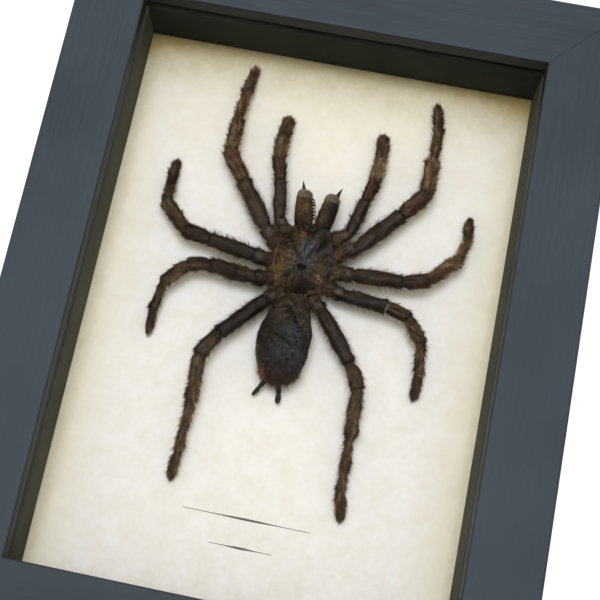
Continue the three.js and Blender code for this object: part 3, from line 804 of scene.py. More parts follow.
def growLimb(name, limb, parts, colors, seed):
    rng = np.random.default_rng(seed)
    path, part = limbPath(limbKnots(limb, parts["lift"]), limbMesh["step"])
    path = blur(path, limbMesh["bend"] / limbMesh["step"])
    index = np.minimum(part.astype(int), len(parts["names"]) - 1)
    inside = part - index
    kinds = np.array(parts["names"])[index]
    girth = np.empty(len(part))
    for i, kind in enumerate(parts["names"]):
        here = index == i
        places, shares = zip(*outlines[kind])
        girth[here] = np.interp(inside[here], places, shares) * parts["girth"][i] * limb["stout"]
    girth = np.maximum(blur(girth, 0.8), limbMesh["thinnest"])
    grid, angle = ringsAlong(path, girth, girth * limbMesh["flat"], limbMesh["sides"])

    run = np.concatenate([[0], np.cumsum(np.linalg.norm(np.diff(path, axis=0), axis=1))])
    u = np.broadcast_to(run[:, None], grid.shape[:2])
    c, s = np.cos(angle)[None], np.sin(angle)[None]
    ring = np.broadcast_to(girth[:, None], grid.shape[:2])

    def on(cycle, span):
        return np.stack([u / span + seed, ring * c / cycle, ring * s / cycle], -1)

    dents = sum(depth * noise(on(cycle, span), seed + more) for depth, cycle, span, more in limbMesh["dents"])
    # the drier parts have furrows
    envelope = np.where(np.isin(kinds, ["patella", "tibia"]), np.sin(math.pi * inside) ** 0.7, 0.0)
    envelope = np.where(kinds == "metatarsus", 0.4 * np.sin(math.pi * inside), envelope)
    apart, wide, deep = limbMesh["furrows"]
    fromTop = angle[None] - math.pi / 2
    stripes = sum(bell(fromTop - side * apart, wide) for side in (-1, 1)) * envelope[:, None]
    dents -= deep * stripes
    collar = bell(inside - 0.95, 0.03) * np.isin(kinds, ["femur", "patella", "tibia", "metatarsus"])
    dents += limbMesh["collar"] * collar[:, None] * (0.6 + 0.4 * s)
    grid = grid + gridNormals(grid) * (dents * np.minimum(1, ring / 1.2))[..., None]

    # some parts of a limb are paler or darker than their kind
    shades = limb.get("shades", {})
    table = [np.multiply(colors.get(kind, coatColors[kind]), shades.get(kind, 1)) for kind in parts["names"]]
    joint = bell(np.minimum(inside, 1 - inside), 0.07)
    coat = blur(np.array(table)[index], 1.6) * limb["tone"] * (1 - 0.5 * joint[:, None])
    coat[:, 3] = 1
    grainAt = np.stack([u, (angle[None] + math.pi / 2) * ring, np.full_like(u, seed * 3.7)], -1)
    patch = np.clip(noise(on(3.0, 4.0), seed + 3) * 0.6 + 0.7, 0, 1)
    place = np.stack([u / 2.6, angle[None] * ring / 0.75, np.full_like(u, seed)], -1)
    streaks = 0.6 * noise(place, 3) + 0.7 * noise(place * 2, 4) + 0.3 * noise(place * 0.4, 6)
    around = coat[:, None] * (1 + 0.7 * streaks[..., None])
    # torn pale skin shows in a few joints
    for seam in limb.get("seams", ()):
        torn = bell(run[:, None] - np.interp(seam, part, run) + 0.3 * noise(on(0.8, 9), seed + 5), 0.34)
        torn = (torn * smoothStep(noise(on(1.6, 2.0), seed + 9), -0.25, 0.1))[..., None]
        around = around * (1 - torn) + np.array(limbMesh["torn"]) * torn
    around[..., 3] = 1
    # a pale, shiny place on top of each trochanter: partly bare cuticle, partly a painted highlight
    knob = bell(fromTop, 0.55) * (np.sin(math.pi * inside) * (kinds == "trochanter"))[:, None]
    baldAndHighlight = np.clip(stripes * patch + 0.9 * knob, 0, 1)
    gloss = np.clip(baldAndHighlight + (kinds == "femur")[:, None], 0, 1)
    looks = {"coat": around, "grainAt": grainAt, "baldAndHighlight": baldAndHighlight, "gloss": gloss}
    skinPiece(name + "_skin", grid, looks, "limb", name)

    lying, tufty, sideways = np.array([hairShare[kind] for kind in kinds]).T
    furry = np.where(np.isin(kinds, ["trochanter", "femur"]), limb.get("furry", 1), 1)
    lying, tufty = lying * furry, tufty * furry**2
    ends = bell(1 - inside, 0.1) * np.isin(kinds, ["tibia", "metatarsus"])
    bare = (1 - 0.8 * baldAndHighlight) * np.where(s < -0.7, 0.4, 1.0)
    cover = (lying * (1 - 0.5 * joint))[:, None] * bare
    beside = np.abs(c) - 1
    thick = {
        "coat": cover,
        "locks": cover,
        "tufts": (tufty + 0.8 * ends)[:, None] * (0.35 + bell(beside, 0.4)) * (s > -0.8),
        "fringe": sideways[:, None] * (0.08 + bell(beside, 0.22)) * (s > -0.8),
    }
    tufts = []
    for kind, look in limbHair.items():
        count = int(look["perMm"] * run[-1] * limb["stout"])
        roots, normals, flow, row, column = scatter(grid, np.broadcast_to(thick[kind], u.shape), count, rng)
        streak = 0.15 if kind == "fringe" else 0.42 + 0.75 * streaks[row, column]
        tufts.append(growHairs(roots, normals, flow, look, rng, row / (len(coat) - 1), streak))
    hairPiece(name + "_hair", tufts, coat * (1.15, 1.15, 1.15, 1))


for number, (name, limb) in enumerate(legs.items()):
    growLimb(name, limb, legParts, {}, 11 + number)
for number, (name, limb) in enumerate(palps.items()):
    growLimb(name, limb, palpParts, palpColors, 31 + number)
print("limbs grown")

shield = {
    # z, half width and middle of the shield's outline, from the waist to the front
    "outline": [[115.7, 2.6, 1.3], [116.6, 5.6, 1.3], [118.6, 7.7, 1.3], [121.6, 9.0, 1.3], [125.0, 9.4, 1.3],
                [128.6, 9.0, 1.3], [131.6, 7.9, 1.45], [134.4, 6.4, 1.7], [136.6, 5.2, 1.9], [137.8, 3.4, 2.0]],
    "middle": (1.35, 125.6),
    "rimLift": 7.0,
    "crown": 12.3,
    # the soft flanks and underside, as (share of the outline, height over the paper)
    "under": [(1.0, 6.6), (1.02, 6.3), (1.07, 5.8), (1.09, 5.1), (1.05, 4.3), (0.9, 3.6), (0.66, 3.2),
              (0.35, 3.0), (0.08, 3.0)],
    "headRise": 0.75,
    "rays": (8, -28, -62, 172, 208, 242), "raysZ": 121.6, "raysReach": 8,  # the grooves round the pit
    "pit": (1.3, 123.2, 1.6),  # middle and radius of the half-moon pit
    "eyeHill": (1.75, 134.9, 1.7, 1.05),
}

# the shield's soft round patches of colour: colour, strength, x, z, width and stretch along x and z
shieldSpots = [
    ("ochre", 0.5, -1.4, 127.5, 2.6), ("ochre", 0.9, 0.2, 132.6, 1.7, 1, 1.4),
    ("ochre", 0.95, -4.8, 121.4, 2.6, 1, 1.4), ("ochre", 0.95, -2.6, 118.3, 2.2), ("rim", 0.65, 7.3, 120.4, 1.9),
]
coatGround = {
    "slate": srgb(56, 58, 59), "ochre": srgb(78, 62, 39), "brown": srgb(50, 40, 29),
    "dark": srgb(16, 13, 12), "rim": srgb(122, 94, 68), "flank": srgb(32, 24, 19),
}


def spot(x, z, middleX, middleZ, width, stretchX=1, stretchZ=1):
    return bell(np.hypot((x - middleX) / stretchX, (z - middleZ) / stretchZ), width)


def noises(points, *layers):
    # layers: strength, size in mm and seed
    return sum(strength * noise(points / size, seed) for strength, size, seed in layers)


def laid(color, ground, coats):
    # thin coats of the ground's colours, one over the other; coats: colour and amount
    for name, amount in coats:
        amount = np.clip(amount, 0, 1)[..., None]
        color = color * (1 - amount) + np.array(ground[name]) * amount
    return color


def distanceToLine(x, z, points):
    # distance to a line of points, and on which side (left of its direction is positive)
    best = np.full(x.shape, 1e9)
    side = np.zeros(x.shape)
    for (x0, z0), (x1, z1) in zip(points, points[1:]):
        dx, dz = x1 - x0, z1 - z0
        t = np.clip(((x - x0) * dx + (z - z0) * dz) / (dx * dx + dz * dz), 0, 1)
        gap = np.hypot(x - x0 - t * dx, z - z0 - t * dz)
        turn = np.sign(dx * (z - z0) - dz * (x - x0))
        side = np.where(gap < best, turn, side)
        best = np.minimum(best, gap)
    return best, side


def shieldEdge(count):
    rows = alongStations(shield["outline"], 12)
    right = np.stack([rows[:, 2] + rows[:, 1], rows[:, 0]], -1)
    left = np.stack([rows[:, 2] - rows[:, 1], rows[:, 0]], -1)[::-1]
    loop = np.vstack([right, left, right[:1]])
    at = np.concatenate([[0], np.cumsum(np.linalg.norm(np.diff(loop, axis=0), axis=1))])
    even = np.linspace(0, at[-1], count, endpoint=False)
    edge = np.stack([np.interp(even, at, loop[:, k]) for k in (0, 1)], -1)
    twice = blur(np.vstack([edge, edge]), 2.5)  # so that the smoothing runs over the loop's seam
    return twice[count // 2:count // 2 + count]


headGrooves = [
    [(1.3, 122.9), (-0.5, 125.6), (-1.9, 128.6), (-4.4, 132.6), (-5.2, 135.0)],
    [(1.3, 122.9), (3.2, 125.6), (4.9, 128.4), (7.2, 131.6), (8.2, 133.6)],
]


def halfMoon(x, z, rim, flat):
    # the pit's shape; rim and flat: from where to where its round and its flat edge go down
    pitX, pitZ, pitR = shield["pit"]
    reach = pitR - np.hypot(x - pitX, (z - pitZ) * 0.8)
    return smoothStep(reach, *rim) * smoothStep(pitZ - z, *flat)


def fromHill(x, z):
    # distance from the middle of the eye hill, 1 at its edge
    hillX, hillZ, hillA, hillB = shield["eyeHill"]
    return np.hypot((x - hillX) / hillA, (z - hillZ) / hillB)


def shieldHeight(x, z, share):
    # height of the shield above the paper, with its grooves, pit and eye hill
    pitX, pitZ, _ = shield["pit"]
    dome = (1 - share**2.4) ** 0.6
    height = shield["rimLift"] + (shield["crown"] - shield["rimLift"]) * dome
    left, leftSide = distanceToLine(x, z, headGrooves[0])
    right, rightSide = distanceToLine(x, z, headGrooves[1])
    ahead = smoothStep(z, 122.5, 126.0)
    inHead = smoothStep(-left * leftSide, -0.9, 2.0) * smoothStep(right * rightSide, -0.6, 1.6) * ahead
    height += shield["headRise"] * inHead * smoothStep(1 - share, 0, 0.25)
    outer = smoothStep(z, 123.5, 131.0)
    grooves = 0.22 * bell(left, 0.7) + (0.2 + 0.5 * outer) * bell(right, 0.8)
    height -= grooves * smoothStep(1 - share, 0.02, 0.2)
    raysZ, length = shield["raysZ"], shield["raysReach"]
    reach = np.hypot(x - pitX, z - raysZ)
    for heading in shield["rays"]:
        a = math.radians(heading)
        tip = (pitX + length * math.cos(a), raysZ + length * math.sin(a))
        gap, _ = distanceToLine(x, z, [(pitX, raysZ), tip])
        along = smoothStep(reach, 0.8, 3.0) * smoothStep(length + 0.5 - reach, 0, 3)
        height -= 0.34 * bell(gap, 0.75) * along
    height -= 0.9 * halfMoon(x, z, (-0.1, 0.7), (-0.1, 0.5))
    height += 0.25 * spot(x, z, pitX, pitZ + 0.5, 0.6)
    hill = fromHill(x, z)
    height += 0.75 * smoothStep(1.25 - hill, 0, 0.6) - 0.15 * bell(hill - 1.35, 0.2)
    height += noises(np.stack([x, z, height * 0], -1), (0.14, 1.5, 5), (0.08, 0.6, 6), (0.03, 0.25, 8))
    return height


def buildShield():
    count = 176
    edge = shieldEdge(count)
    middle = np.array(shield["middle"])
    shares = np.concatenate([np.linspace(0.01, 0.96, 74), [0.975, 0.988, 0.996, 1.0]])
    rows, tints = [], []
    for share in shares:
        x, z = (middle + (edge - middle) * share).T
        rows.append(onPaper(x, z, shieldHeight(x, z, np.full(count, share))))
        tints.append(shieldTint(x, z, share))
    for share, lift in shield["under"]:
        x, z = (middle + (edge - middle) * share).T
        rows.append(onPaper(x, z, np.full(count, lift)))
        tints.append(np.tile(coatGround["flank"], (count, 1)))
    grid = np.stack(rows)
    skinPiece("carapace", grid, {"tint": np.stack(tints)}, "shield", "cephalothorax")
    return grid, len(shares)


def shieldTint(x, z, share):
    where = np.stack([x, z, np.zeros_like(x)], -1)
    drift = noises(where, (0.5, 3.0, 21), (0.25, 1.1, 22))
    hillX, hillZ = shield["eyeHill"][:2]
    hill = fromHill(x, z)
    onLeft = x < 0
    inGroove = [bell(distanceToLine(x, z, line)[0], 0.4) for line in headGrooves]
    broken, ahead = smoothStep(drift, -0.3, 0.1), smoothStep(z, 123, 125)
    color = laid(np.array(coatGround["brown"]), coatGround, [
        ("ochre", 0.6 * smoothStep(drift + (0.8 - x) / 8, 0.1, 0.8)),
        *((name, strength * spot(x, z, *place)) for name, strength, *place in shieldSpots),
        ("slate", smoothStep(spot(x, z, 2.4, 127, 2.6, 1.2, 2.2) + drift * 0.35, 0.3, 0.7)),
        ("slate", 0.8 * smoothStep(drift - 0.1 + (x - 1.3) / 14, 0.1, 0.6) * (share > 0.3)),
        ("dark", 0.85 * spot(x, z, 3.0, 117.5, 2.2, 1.6)),
        # painted shade: a dark patch along the right head groove
        ("dark", 0.85 * spot(x, z, 6.2, 132.6, 1.8, 1, 1.8)),
        # painted shade: the half-moon pit and the place just above it are darkened
        ("dark", 0.9 * halfMoon(x, z, (-0.1, 0.5), (-0.2, 0.4)) + 0.45 * spot(x, z, 0.9, 124.7, 1.1)),
        ("slate", smoothStep(1.0 - hill, 0, 0.3)),
        # painted shade: a dark ring round the foot of the eye hill
        ("dark", 0.95 * bell(hill - 1.3, 0.32) + 0.6 * bell(np.hypot(x - hillX, (z - hillZ - 0.3) * 1.4), 0.8)),
        # painted shade: the head grooves are darkened
        *(("dark", 0.5 * groove * broken * ahead) for groove in inGroove),
        ("rim", (0.5 + 0.5 * onLeft) * smoothStep(share + 0.03 * onLeft, 0.92, 0.98)
            * smoothStep(drift, -0.1, 0.15)),
    ])
    turn, reach = np.arctan2(z - 123, x - 1.3), np.hypot(x - 1.3, z - 123)
    rays = noise(np.stack([np.cos(turn) * 7, np.sin(turn) * 7, reach / 4], -1), 23)
    color = color * (1 + 0.9 * rays * smoothStep(reach, 0.5, 3) + 0.3 * noise(where / 0.6, 24))[:, None]
    color[:, 3] = 1
    return color


# x and z from the eye hill's middle, and radius; the outer six are pearly
eyes = [(-0.42, 0.3, 0.3), (0.42, 0.3, 0.3), (-1.2, 0.45, 0.4), (1.2, 0.45, 0.4),
        (-1.3, -0.35, 0.34), (1.3, -0.35, 0.34), (-0.82, -0.3, 0.24), (0.82, -0.3, 0.24)]


def buildEyes():
    hillX, hillZ = shield["eyeHill"][:2]
    steep = np.linspace(0.05, math.pi - 0.05, 9)[:, None]
    around = np.arange(14) / 14 * 2 * math.pi
    wide = np.sin(steep)
    ball = np.stack([wide * np.cos(around), -np.cos(steep) + 0 * around, wide * np.sin(around)], -1)
    grids = []
    for x, z, radius in eyes:
        height = shieldHeight(np.array([hillX + x]), np.array([hillZ + z]), np.array([0.86]))
        grids.append(ball * radius + onPaper(hillX + x, hillZ + z, height[0] + radius * 0.25))
    joinGrids("eyes", grids[:2], skinLooks["horn"])
    joinGrids("pearly_eyes", grids[2:], skinLooks["pearl"])


def joinGrids(name, grids, material):
    # several closed skins as one piece
    objects = [newObject(f"{name}_{i}", gridMesh(f"{name}_{i}", grid)) for i, grid in enumerate(grids)]
    with bpy.context.temp_override(active_object=objects[0], selected_editable_objects=objects):
        bpy.ops.object.join()
    mesh = objects[0].data
    bpy.data.objects.remove(objects[0])
    placePiece(name, mesh, material)


shieldHair = {
    "sparse": {"count": 3600, "length": (0.35, 0.8), "radius": (0.018, 0.032), "rise": (8, 28), "stray": 0.5},
    "rim": {"count": 1900, "length": (0.7, 1.6), "radius": (0.026, 0.045), "rise": (5, 50), "bend": 0.4,
            "stray": 0.5},
}


def hairOnShield(grid, topRows):
    rng = np.random.default_rng(51)
    share = np.linspace(0, 1, topRows)[:, None] * np.ones(grid.shape[1])
    hairOn("carapace_hair", "brown", grid[:topRows], 0.25 + share, shieldHair["sparse"], rng)
    z = grid[topRows - 2, :, 2]
    weight = np.zeros(grid.shape[:2])
    weight[topRows - 4:topRows + 3] = np.where(z < 133, 1.0, 0.05) * (0.1 + 0.9 * bell(z - 122, 4))
    rim = shieldHair["rim"]
    roots, normals, *_ = scatter(grid, weight, rim["count"], rng)
    away = unit(roots - np.array([1.3, roots[:, 1].mean(), 126.0]))
    tufts = [growHairs(roots, unit(normals + away), away + np.array([0, 0, -0.4]), rim, rng, tone=0.62)]
    hairPiece("carapace_rim_hair", tufts, hairColors["rim"])


shieldGrid, shieldTop = buildShield()
buildEyes()
hairOnShield(shieldGrid, shieldTop)
print("head and thorax grown")

abdomen = {
    "stations": [[1.2, 115.4, 6.6, 3.2, 1.8], [1.1, 112.8, 7.0, 4.9, 3.2], [0.7, 109.0, 7.8, 6.3, 4.8],
                 [0.5, 104.0, 8.0, 7.6, 6.0], [0.4, 98.5, 7.8, 8.0, 6.3], [0.7, 93.4, 7.2, 7.1, 5.6],
                 [1.3, 89.6, 6.6, 5.0, 4.2], [1.8, 87.3, 6.2, 2.2, 1.8]],
    # the raised plate's edge, from the upper left round the right side
    "plate": [(-6.4, 104.2), (-5.6, 107.0), (-4.2, 108.9), (-2.4, 109.7), (-0.6, 109.8), (0.6, 109.1),
              (2.3, 107.1), (3.9, 105.3), (5.3, 103.8), (6.8, 101.8), (7.7, 99.4), (7.9, 96.4), (7.5, 93.2),
              (6.2, 90.4)],
    "crease": [(-2.8, 100.4), (-1.2, 99.9), (0.6, 99.0), (2.6, 98.0)],
    "plateStep": 0.9,
    "rustCorner": (-4.2, 90.0),
}
abdomenGround = {
    "skin": srgb(32, 28, 24), "sheenBlue": srgb(45, 46, 47), "brown": srgb(47, 36, 26), "neck": srgb(62, 51, 40),
    "dark": srgb(9, 8, 8), "rust": srgb(38, 26, 18), "orange": srgb(118, 74, 48),
    "flank": srgb(66, 59, 50),
}


def buildAbdomen():
    rows = blur(alongStations(abdomen["stations"], 22), 5)
    grid, angle = ringsOver(rows, 112, 2.2)
    x, z = grid[..., 0], grid[..., 2]
    steep = np.broadcast_to(np.sin(angle), x.shape)
    upper = smoothStep(steep, 0.0, 0.35)
    gap, side = distanceToLine(x, z, abdomen["plate"])
    signed = gap * -side + 0.2 * noise(grid / 0.7, 47)
    plate = smoothStep(signed, -0.15, 0.25)
    bare = 1 - plate
    crack = bell(signed + 0.35, 0.7) * smoothStep(z, 91, 94)
    fold, _ = distanceToLine(x, z, abdomen["crease"])
    lump = noises(grid, (0.3, 2.6, 41), (0.12, 0.9, 42), (0.06, 0.4, 43))
    wrinkle = 0.06 * np.sin(6.5 * (z - 0.25 * x) + 3 * noise(grid / 1.6, 44)) * bare * upper
    height = upper * (abdomen["plateStep"] * (plate - 1) - 1.1 * crack - 0.6 * bell(fold, 0.36))
    height += 0.16 * upper * bell(fold - 0.6, 0.4) + lump * np.minimum(1, rows[:, 3] / 4)[:, None] + wrinkle
    grid = grid + gridNormals(grid) * height[..., None]

    drift = noises(grid, (0.5, 3.1, 45), (0.3, 1.0, 46))
    low = smoothStep(94.5 - z + 0.25 * np.abs(x - 1) + drift * 2, 1.5, 5.5)
    flank = bare * upper * smoothStep(x, 4.0, 6.0)
    # painted shade in the valley beside the plate
    valley = 0.8 * bare * smoothStep(x, 2.0, 3.5) * smoothStep(110 - z, 0, 2) * (1 - flank)
    color = laid(np.array(abdomenGround["skin"]), abdomenGround, [
        # painted sheen: a grey-blue patch on the right side
        ("sheenBlue", smoothStep(spot(x, z, 4.4, 98.5, 3.4, 1.2, 2.0) + drift * 0.4, 0.25, 0.8)),
        ("brown", 0.8 * smoothStep(drift + (0.2 - x) / 10, 0.1, 0.6)),
        ("neck", 0.9 * spot(x, z, -3.0, 107.0, 2.6)),
        ("neck", bare * upper * 0.8),
        ("neck", smoothStep(z, 108.5, 110.5)),
        ("brown", 1 - smoothStep(steep, -0.1, 0.3)),
        ("rust", 0.7 * low * (1 - 0.75 * plate * smoothStep(z, 89.5, 91.5))),
        ("orange", 0.5 * spot(x, z, -1.6, 106.4, 0.7) + 0.4 * spot(x, z, -2.0, 103.0, 0.4)),
        ("flank", 0.85 * flank),
        # painted shade: darker in the crack, the valley and the crease
        ("dark", upper * np.maximum(np.maximum(1.3 * crack, valley), 0.9 * bell(fold, 0.3))),
        ("dark", 0.55 * smoothStep(noises(grid, (1, 0.8, 48), (0.6, 0.35, 49)), 0.1, 0.9)),
    ])
    color = color * (1 + noises(grid, (0.6, 0.9, 50), (0.5, 0.4, 51)))[..., None]
    color[..., 3] = 1
    skinPiece("abdomen_skin", grid, {"tint": color}, "belly", "abdomen")
    return grid, upper, bare, crack


abdomenHair = {
    "fine": {"count": 7000, "length": (0.5, 1.1), "radius": (0.024, 0.045), "rise": (5, 20), "stray": 0.45},
    "rust": {"count": 800, "length": (1.4, 2.8), "radius": (0.045, 0.08), "rise": (8, 36), "bend": 0.5,
             "stray": 0.35},
    "neck": {"count": 170, "length": (1.2, 2.6), "radius": (0.03, 0.05), "rise": (14, 44), "bend": 0.5,
             "stray": 0.6},
    "spinneret": {"count": 260, "length": (0.3, 0.7), "radius": (0.016, 0.028), "rise": (10, 35), "stray": 0.3},
}


def hairOnAbdomen(grid, upper, bare, crack):
    rng = np.random.default_rng(61)
    x, z = grid[..., 0], grid[..., 2]
    dense = (0.2 + bare * (1 - 0.8 * smoothStep(x, 4.5, 6)) + (1 - upper)) * (1 - 0.95 * crack)
    hairOn("abdomen_hair", "dark", grid, dense, abdomenHair["fine"], rng)
    tail = smoothStep(93.2 - z, 0, 4) * (1 - 0.6 * upper * (z > 90)) + spot(x, z, 6.0, 90.4, 1.6)
    corner, rust = abdomen["rustCorner"], abdomenHair["rust"]
    roots, normals, flow, *_ = scatter(grid, tail + 3.2 * spot(x, z, *corner, 1.3), rust["count"], rng)
    flow = flow + (roots[:, :1] - 1.3) * [0.12, 0, 0]
    bright = 0.26 + 0.72 * spot(roots[:, 0], roots[:, 2], *corner, 2.0)
    tufts = [growHairs(roots, normals, flow, rust, rng, tone=bright)]
    hairPiece("abdomen_rust_hair", tufts, hairColors["rust"])
    valley = upper * spot(x, z, 3.4, 108.0, 3.0) * bare
    hairOn("abdomen_neck_hair", "grey", grid, valley, abdomenHair["neck"], rng, 0.6)


# x, z, lift, half width and half thickness, from the base to the tip
spinnerets = {
    "left": [[-2.6, 88.5, 4.6, 0.8, 0.8], [-3.3, 87.2, 4.2, 0.78, 0.78], [-3.9, 86.2, 3.8, 0.62, 0.62],
             [-4.1, 85.9, 3.6, 0.5, 0.5], [-4.4, 85.4, 3.4, 0.68, 0.66], [-5.1, 84.3, 2.9, 0.62, 0.6],
             [-5.7, 83.5, 2.5, 0.38, 0.38], [-5.85, 83.3, 2.4, 0.12, 0.12]],
    "right": [[1.3, 88.4, 5.2, 0.8, 0.8], [1.5, 86.8, 4.4, 0.8, 0.8], [1.75, 85.6, 3.9, 0.84, 0.82],
              [1.86, 85.0, 3.7, 0.66, 0.66], [1.9, 84.8, 3.6, 0.6, 0.6], [1.93, 84.4, 3.4, 0.84, 0.8],
              [1.98, 83.2, 2.8, 0.84, 0.78], [2.0, 82.5, 2.5, 0.6, 0.58], [2.0, 82.25, 2.45, 0.2, 0.2]],
}


def buildSpinnerets():
    for side, stations in spinnerets.items():
        grid, _ = ringsOver(alongStations(stations, 8), 24)
        grid = grid + gridNormals(grid) * (0.05 * noise(grid / 0.5, 71))[..., None]
        tint = np.tile(np.array(srgb(44, 40, 36)), (*grid.shape[:2], 1))
        name = "spinneret_" + side
        skinPiece(name + "_skin", grid, {"tint": tint}, "belly", name)
        rng = np.random.default_rng(73)
        even = np.ones(grid.shape[:2])
        hairOn(name + "_hair", "dark", grid, even, abdomenHair["spinneret"], rng)


hairOnAbdomen(*buildAbdomen())
buildSpinnerets()
print("abdomen grown")

jaws = {
    "left": {
        "stations": [[-0.9, 136.6, 7.0, 2.3, 0.9], [-1.1, 138.0, 8.0, 2.7, 2.0], [-1.7, 141.5, 8.5, 2.6, 2.6],
                     [-2.1, 144.4, 8.1, 2.3, 2.4], [-2.2, 146.2, 7.8, 2.05, 2.1], [-2.2, 146.9, 7.6, 1.75, 1.6],
                     [-2.2, 147.1, 7.5, 0.9, 0.8]],
        "fang": [[-2.6, 146.3, 7.3, 0.85, 0.8], [-2.9, 148.0, 7.1, 0.7, 0.68], [-3.2, 149.6, 6.4, 0.48, 0.48],
                 [-3.55, 151.0, 5.6, 0.26, 0.26], [-3.8, 152.0, 5.0, 0.08, 0.08]],
    },
    "right": {
        "stations": [[4.8, 136.6, 7.0, 2.1, 0.9], [5.0, 138.0, 8.0, 2.5, 2.0], [5.6, 141.5, 8.5, 2.55, 2.6],
                     [6.1, 144.4, 8.1, 2.4, 2.5], [6.3, 146.2, 7.8, 2.0, 2.1], [6.4, 146.9, 7.6, 1.6, 1.6],
                     [6.45, 147.1, 7.5, 0.8, 0.8]],
        "fang": [[7.2, 146.4, 7.3, 0.85, 0.8], [7.5, 148.1, 7.1, 0.7, 0.68], [7.85, 149.6, 6.4, 0.48, 0.48],
                 [8.25, 150.9, 5.6, 0.26, 0.26], [8.6, 151.8, 5.0, 0.08, 0.08]],
    },
}
jawGround = {
    "ochre": srgb(98, 72, 38), "dark": srgb(30, 28, 28), "stripe": srgb(26, 18, 11), "tip": srgb(146, 134, 118),
}
jawHair = {
    "coat": {"count": 2600, "length": (0.6, 1.3), "radius": (0.03, 0.055), "rise": (4, 18), "stray": 0.16},
    "brush": {"count": 1500, "length": (0.7, 1.2), "radius": (0.035, 0.06), "rise": (10, 48), "bend": 0.4,
              "stray": 0.25},
    "comb": {"count": 7, "length": (1.9, 2.3), "radius": (0.34, 0.38), "rise": (58, 68), "bend": 1.1,
             "stray": 0.04},
}


def buildJaw(side, jaw, seed):
    rng = np.random.default_rng(seed)
    grid, angle = ringsOver(alongStations(jaw["stations"], 12), 48, 2.5)
    grid = grid + gridNormals(grid) * noises(grid, (0.09, 1.2, seed), (0.04, 0.4, seed + 1))[..., None]
    z = grid[..., 2]
    c = np.broadcast_to(np.cos(angle), z.shape)
    drift = noise(grid / 1.4, seed + 2) * 0.3
    lines = noise(grid / (0.5, 0.5, 3.5), seed + 5)
    if side == "left":
        # c is 1 at the edge that faces the other jaw
        coats = [("stripe", 0.85 * bell(c + 0.15 + drift, 0.16)),
                 ("stripe", 0.5 * smoothStep(-c + drift, 0.4, 0.8))]
    else:
        coats = [("dark", smoothStep(c + drift + 0.25, 0.0, 0.35))]
    coats.append(("stripe", smoothStep(lines, 0.0, 0.5) * 0.8))
    color = laid(np.array(jawGround["ochre"]), jawGround, coats) * (1 + 0.8 * lines[..., None])
    # painted shade: each jaw darkens towards its base, under the front of the carapace
    color = laid(color, jawGround, [("stripe", 0.35 * smoothStep(139.6 - z, 0, 1.6)),
                                    ("tip", 0.85 * smoothStep(z + drift * 2, 144.2, 146.0))])
    color[..., 3] = 1
    name = "chelicera_" + side
    skinPiece(name + "_skin", grid, {"tint": color}, "jaw", name)

    coat = jawHair["coat"]
    roots, normals, flow, row, column = scatter(grid, np.ones(z.shape), coat["count"], rng)
    tufts = [growHairs(roots, normals, flow, coat, rng, row / len(grid), 0.5 - 0.8 * lines[row, column])]
    middle = np.argmin(np.abs(angle - math.pi / 2))
    hairPiece(name + "_hair", tufts, color[:, middle] * (1.2, 1.2, 1.2, 1))
    end = smoothStep(z, 144.2, 146.2) + 0.01
    hairOn(name + "_brush", "grey", grid, end, jawHair["brush"], rng, 0.62)

    fang, _ = ringsOver(alongStations(jaw["fang"], 8), 24)
    skinPiece(f"fang_{side}_horn", fang, {}, "horn", "fang_" + side)
    return grid, angle


def buildComb(grid, angle):
    # stiff bristles in a row down the inner edge of the left jaw
    rng = np.random.default_rng(91)
    comb = jawHair["comb"]
    line = grid[:, np.argmin(np.abs(angle - 0.25))]
    places = np.linspace(139.4, 145.4, comb["count"])
    roots = np.stack([np.interp(places, line[:, 2], line[:, k]) for k in range(3)], -1)
    normals = np.tile(unit(np.array([1.0, -0.25, 0.1])), (len(roots), 1))
    flow = np.tile(np.array([0.2, 0.0, -1.0]), (len(roots), 1))
    tufts = [growHairs(roots, normals, flow, comb, rng, tone=0.0)]
    hairPiece("chelicera_left_comb", tufts, hairColors["dark"])


leftJaw = buildJaw("left", jaws["left"], 81)
buildJaw("right", jaws["right"], 85)
buildComb(*leftJaw)
print("jaws grown")

# Two plain swelled rules stand where such a sheet carries its title.
rules = {
    "places": [(0.05, 47.0, 38.9), (-0.2, 38.5, 19.2)],  # x, z and length
    "thin": 0.09, "thick": 0.34, "depth": 0.03, "steps": 60,
}


def buildRules():
    grids = []
    depth = rules["depth"]
    for x, z, length in rules["places"]:
        t = np.linspace(0, 1, rules["steps"])
        half = rules["thin"] + (rules["thick"] - rules["thin"]) * np.sin(math.pi * t) ** 6
        half = half * np.minimum(1, np.minimum(t, 1 - t) * 40 + 0.05)
        path = onPaper(x + (t - 0.5) * length, np.full_like(t, z), np.full_like(t, depth))
        corners = [(-1, -0.8), (-1, 1), (1, 1), (1, -0.8)]
        ring = [np.stack([t * 0, np.full_like(t, -b * depth), a * half], -1) for a, b in corners]
        grids.append(path[:, None] + np.stack(ring, 1))
    ink = cloudy("printed ink", 0.8, 0.2, 900.0, srgb(96, 94, 88), srgb(124, 121, 112))
    joinGrids("paper_rules", grids, ink)


buildRules()
print("rules printed")

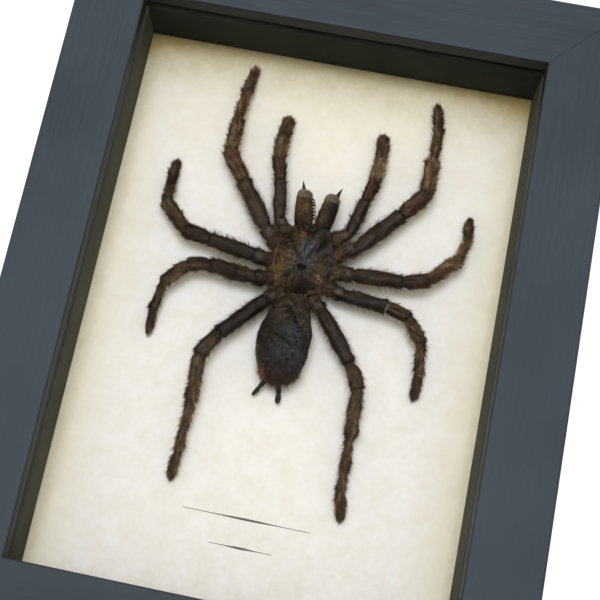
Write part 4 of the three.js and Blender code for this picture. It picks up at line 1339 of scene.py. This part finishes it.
stage = {
    "floor": 1.6,
    "sky": 0.56,  # the light of the pale room; the camera sees it as plain white
    "skyTint": (1.0, 0.9, 0.67, 1),
    "seenSky": 1.1,
    "target": (0, 0, 0.11),  # what the lamps point at
    "key": {"place": (-0.04, -1.05, 0.18), "wide": 0.46, "high": 0.34, "power": 6.25,
            "tint": (0.955, 1.015, 1.18)},
    "back": {"place": (0.5, 1.0, 1.1), "wide": 1.2, "high": 1.2, "power": 11.0, "tint": (0.96, 1.0, 1.08)},
}
camera = {
    "place": (0.01669, -0.36543, 0.00627),
    "turn": (104.59, -11.831, 1.551),
    "lens": 76.277,
    "shift": (0.10, 0.0583),
}


def buildFloor():
    half = stage["floor"]
    corners = [(-half, -half, 0), (half, -half, 0), (half, half, 0), (-half, half, 0)]
    mesh = bpy.data.meshes.new("floor")
    mesh.from_pydata(corners, [], [(0, 1, 2, 3)])
    pale = cloudy("pale floor", 0.7, 0.2, 3.0, srgb(224, 225, 228), srgb(229, 230, 233), part="Broad")
    mesh.materials.append(pale)
    floor = newObject("floor", mesh)


def buildSky():
    world = bpy.data.worlds.new("studio")
    look = emptyLook(world)
    seen = look.put("ShaderNodeLightPath").outputs["Is Camera Ray"]
    room = look.put("ShaderNodeBackground", {"Color": stage["skyTint"], "Strength": stage["sky"]}).outputs[0]
    white = look.put("ShaderNodeBackground", {"Color": (1, 1, 1, 1), "Strength": stage["seenSky"]}).outputs[0]
    both = look.put("ShaderNodeMixShader", {0: seen, 1: room, 2: white}).outputs[0]
    look.put("ShaderNodeOutputWorld", {0: both})
    bpy.context.scene.world = world


def buildLight(name):
    look = stage[name]
    light = bpy.data.lights.new(name, "AREA")
    light.shape = "RECTANGLE"
    light.size, light.size_y = look["wide"], look["high"]
    light.energy = look["power"]
    light.color = look["tint"]
    lamp = newObject(name, light)
    lamp.location = look["place"]
    lamp.rotation_euler = (Vector(stage["target"]) - lamp.location).to_track_quat("-Z", "Y").to_euler()


def buildCamera():
    data = bpy.data.cameras.new("camera")
    data.lens = camera["lens"]
    data.sensor_width = 36
    data.shift_x, data.shift_y = camera["shift"]
    data.clip_start = 0.01
    view = newObject("camera", data)
    view.location = camera["place"]
    view.rotation_euler = Euler([math.radians(a) for a in camera["turn"]], "XYZ")
    bpy.context.scene.camera = view


buildFloor()
buildSky()
buildLight("key")
buildLight("back")
buildCamera()
bpy.context.scene.view_settings.view_transform = "Standard"
print("stage set")
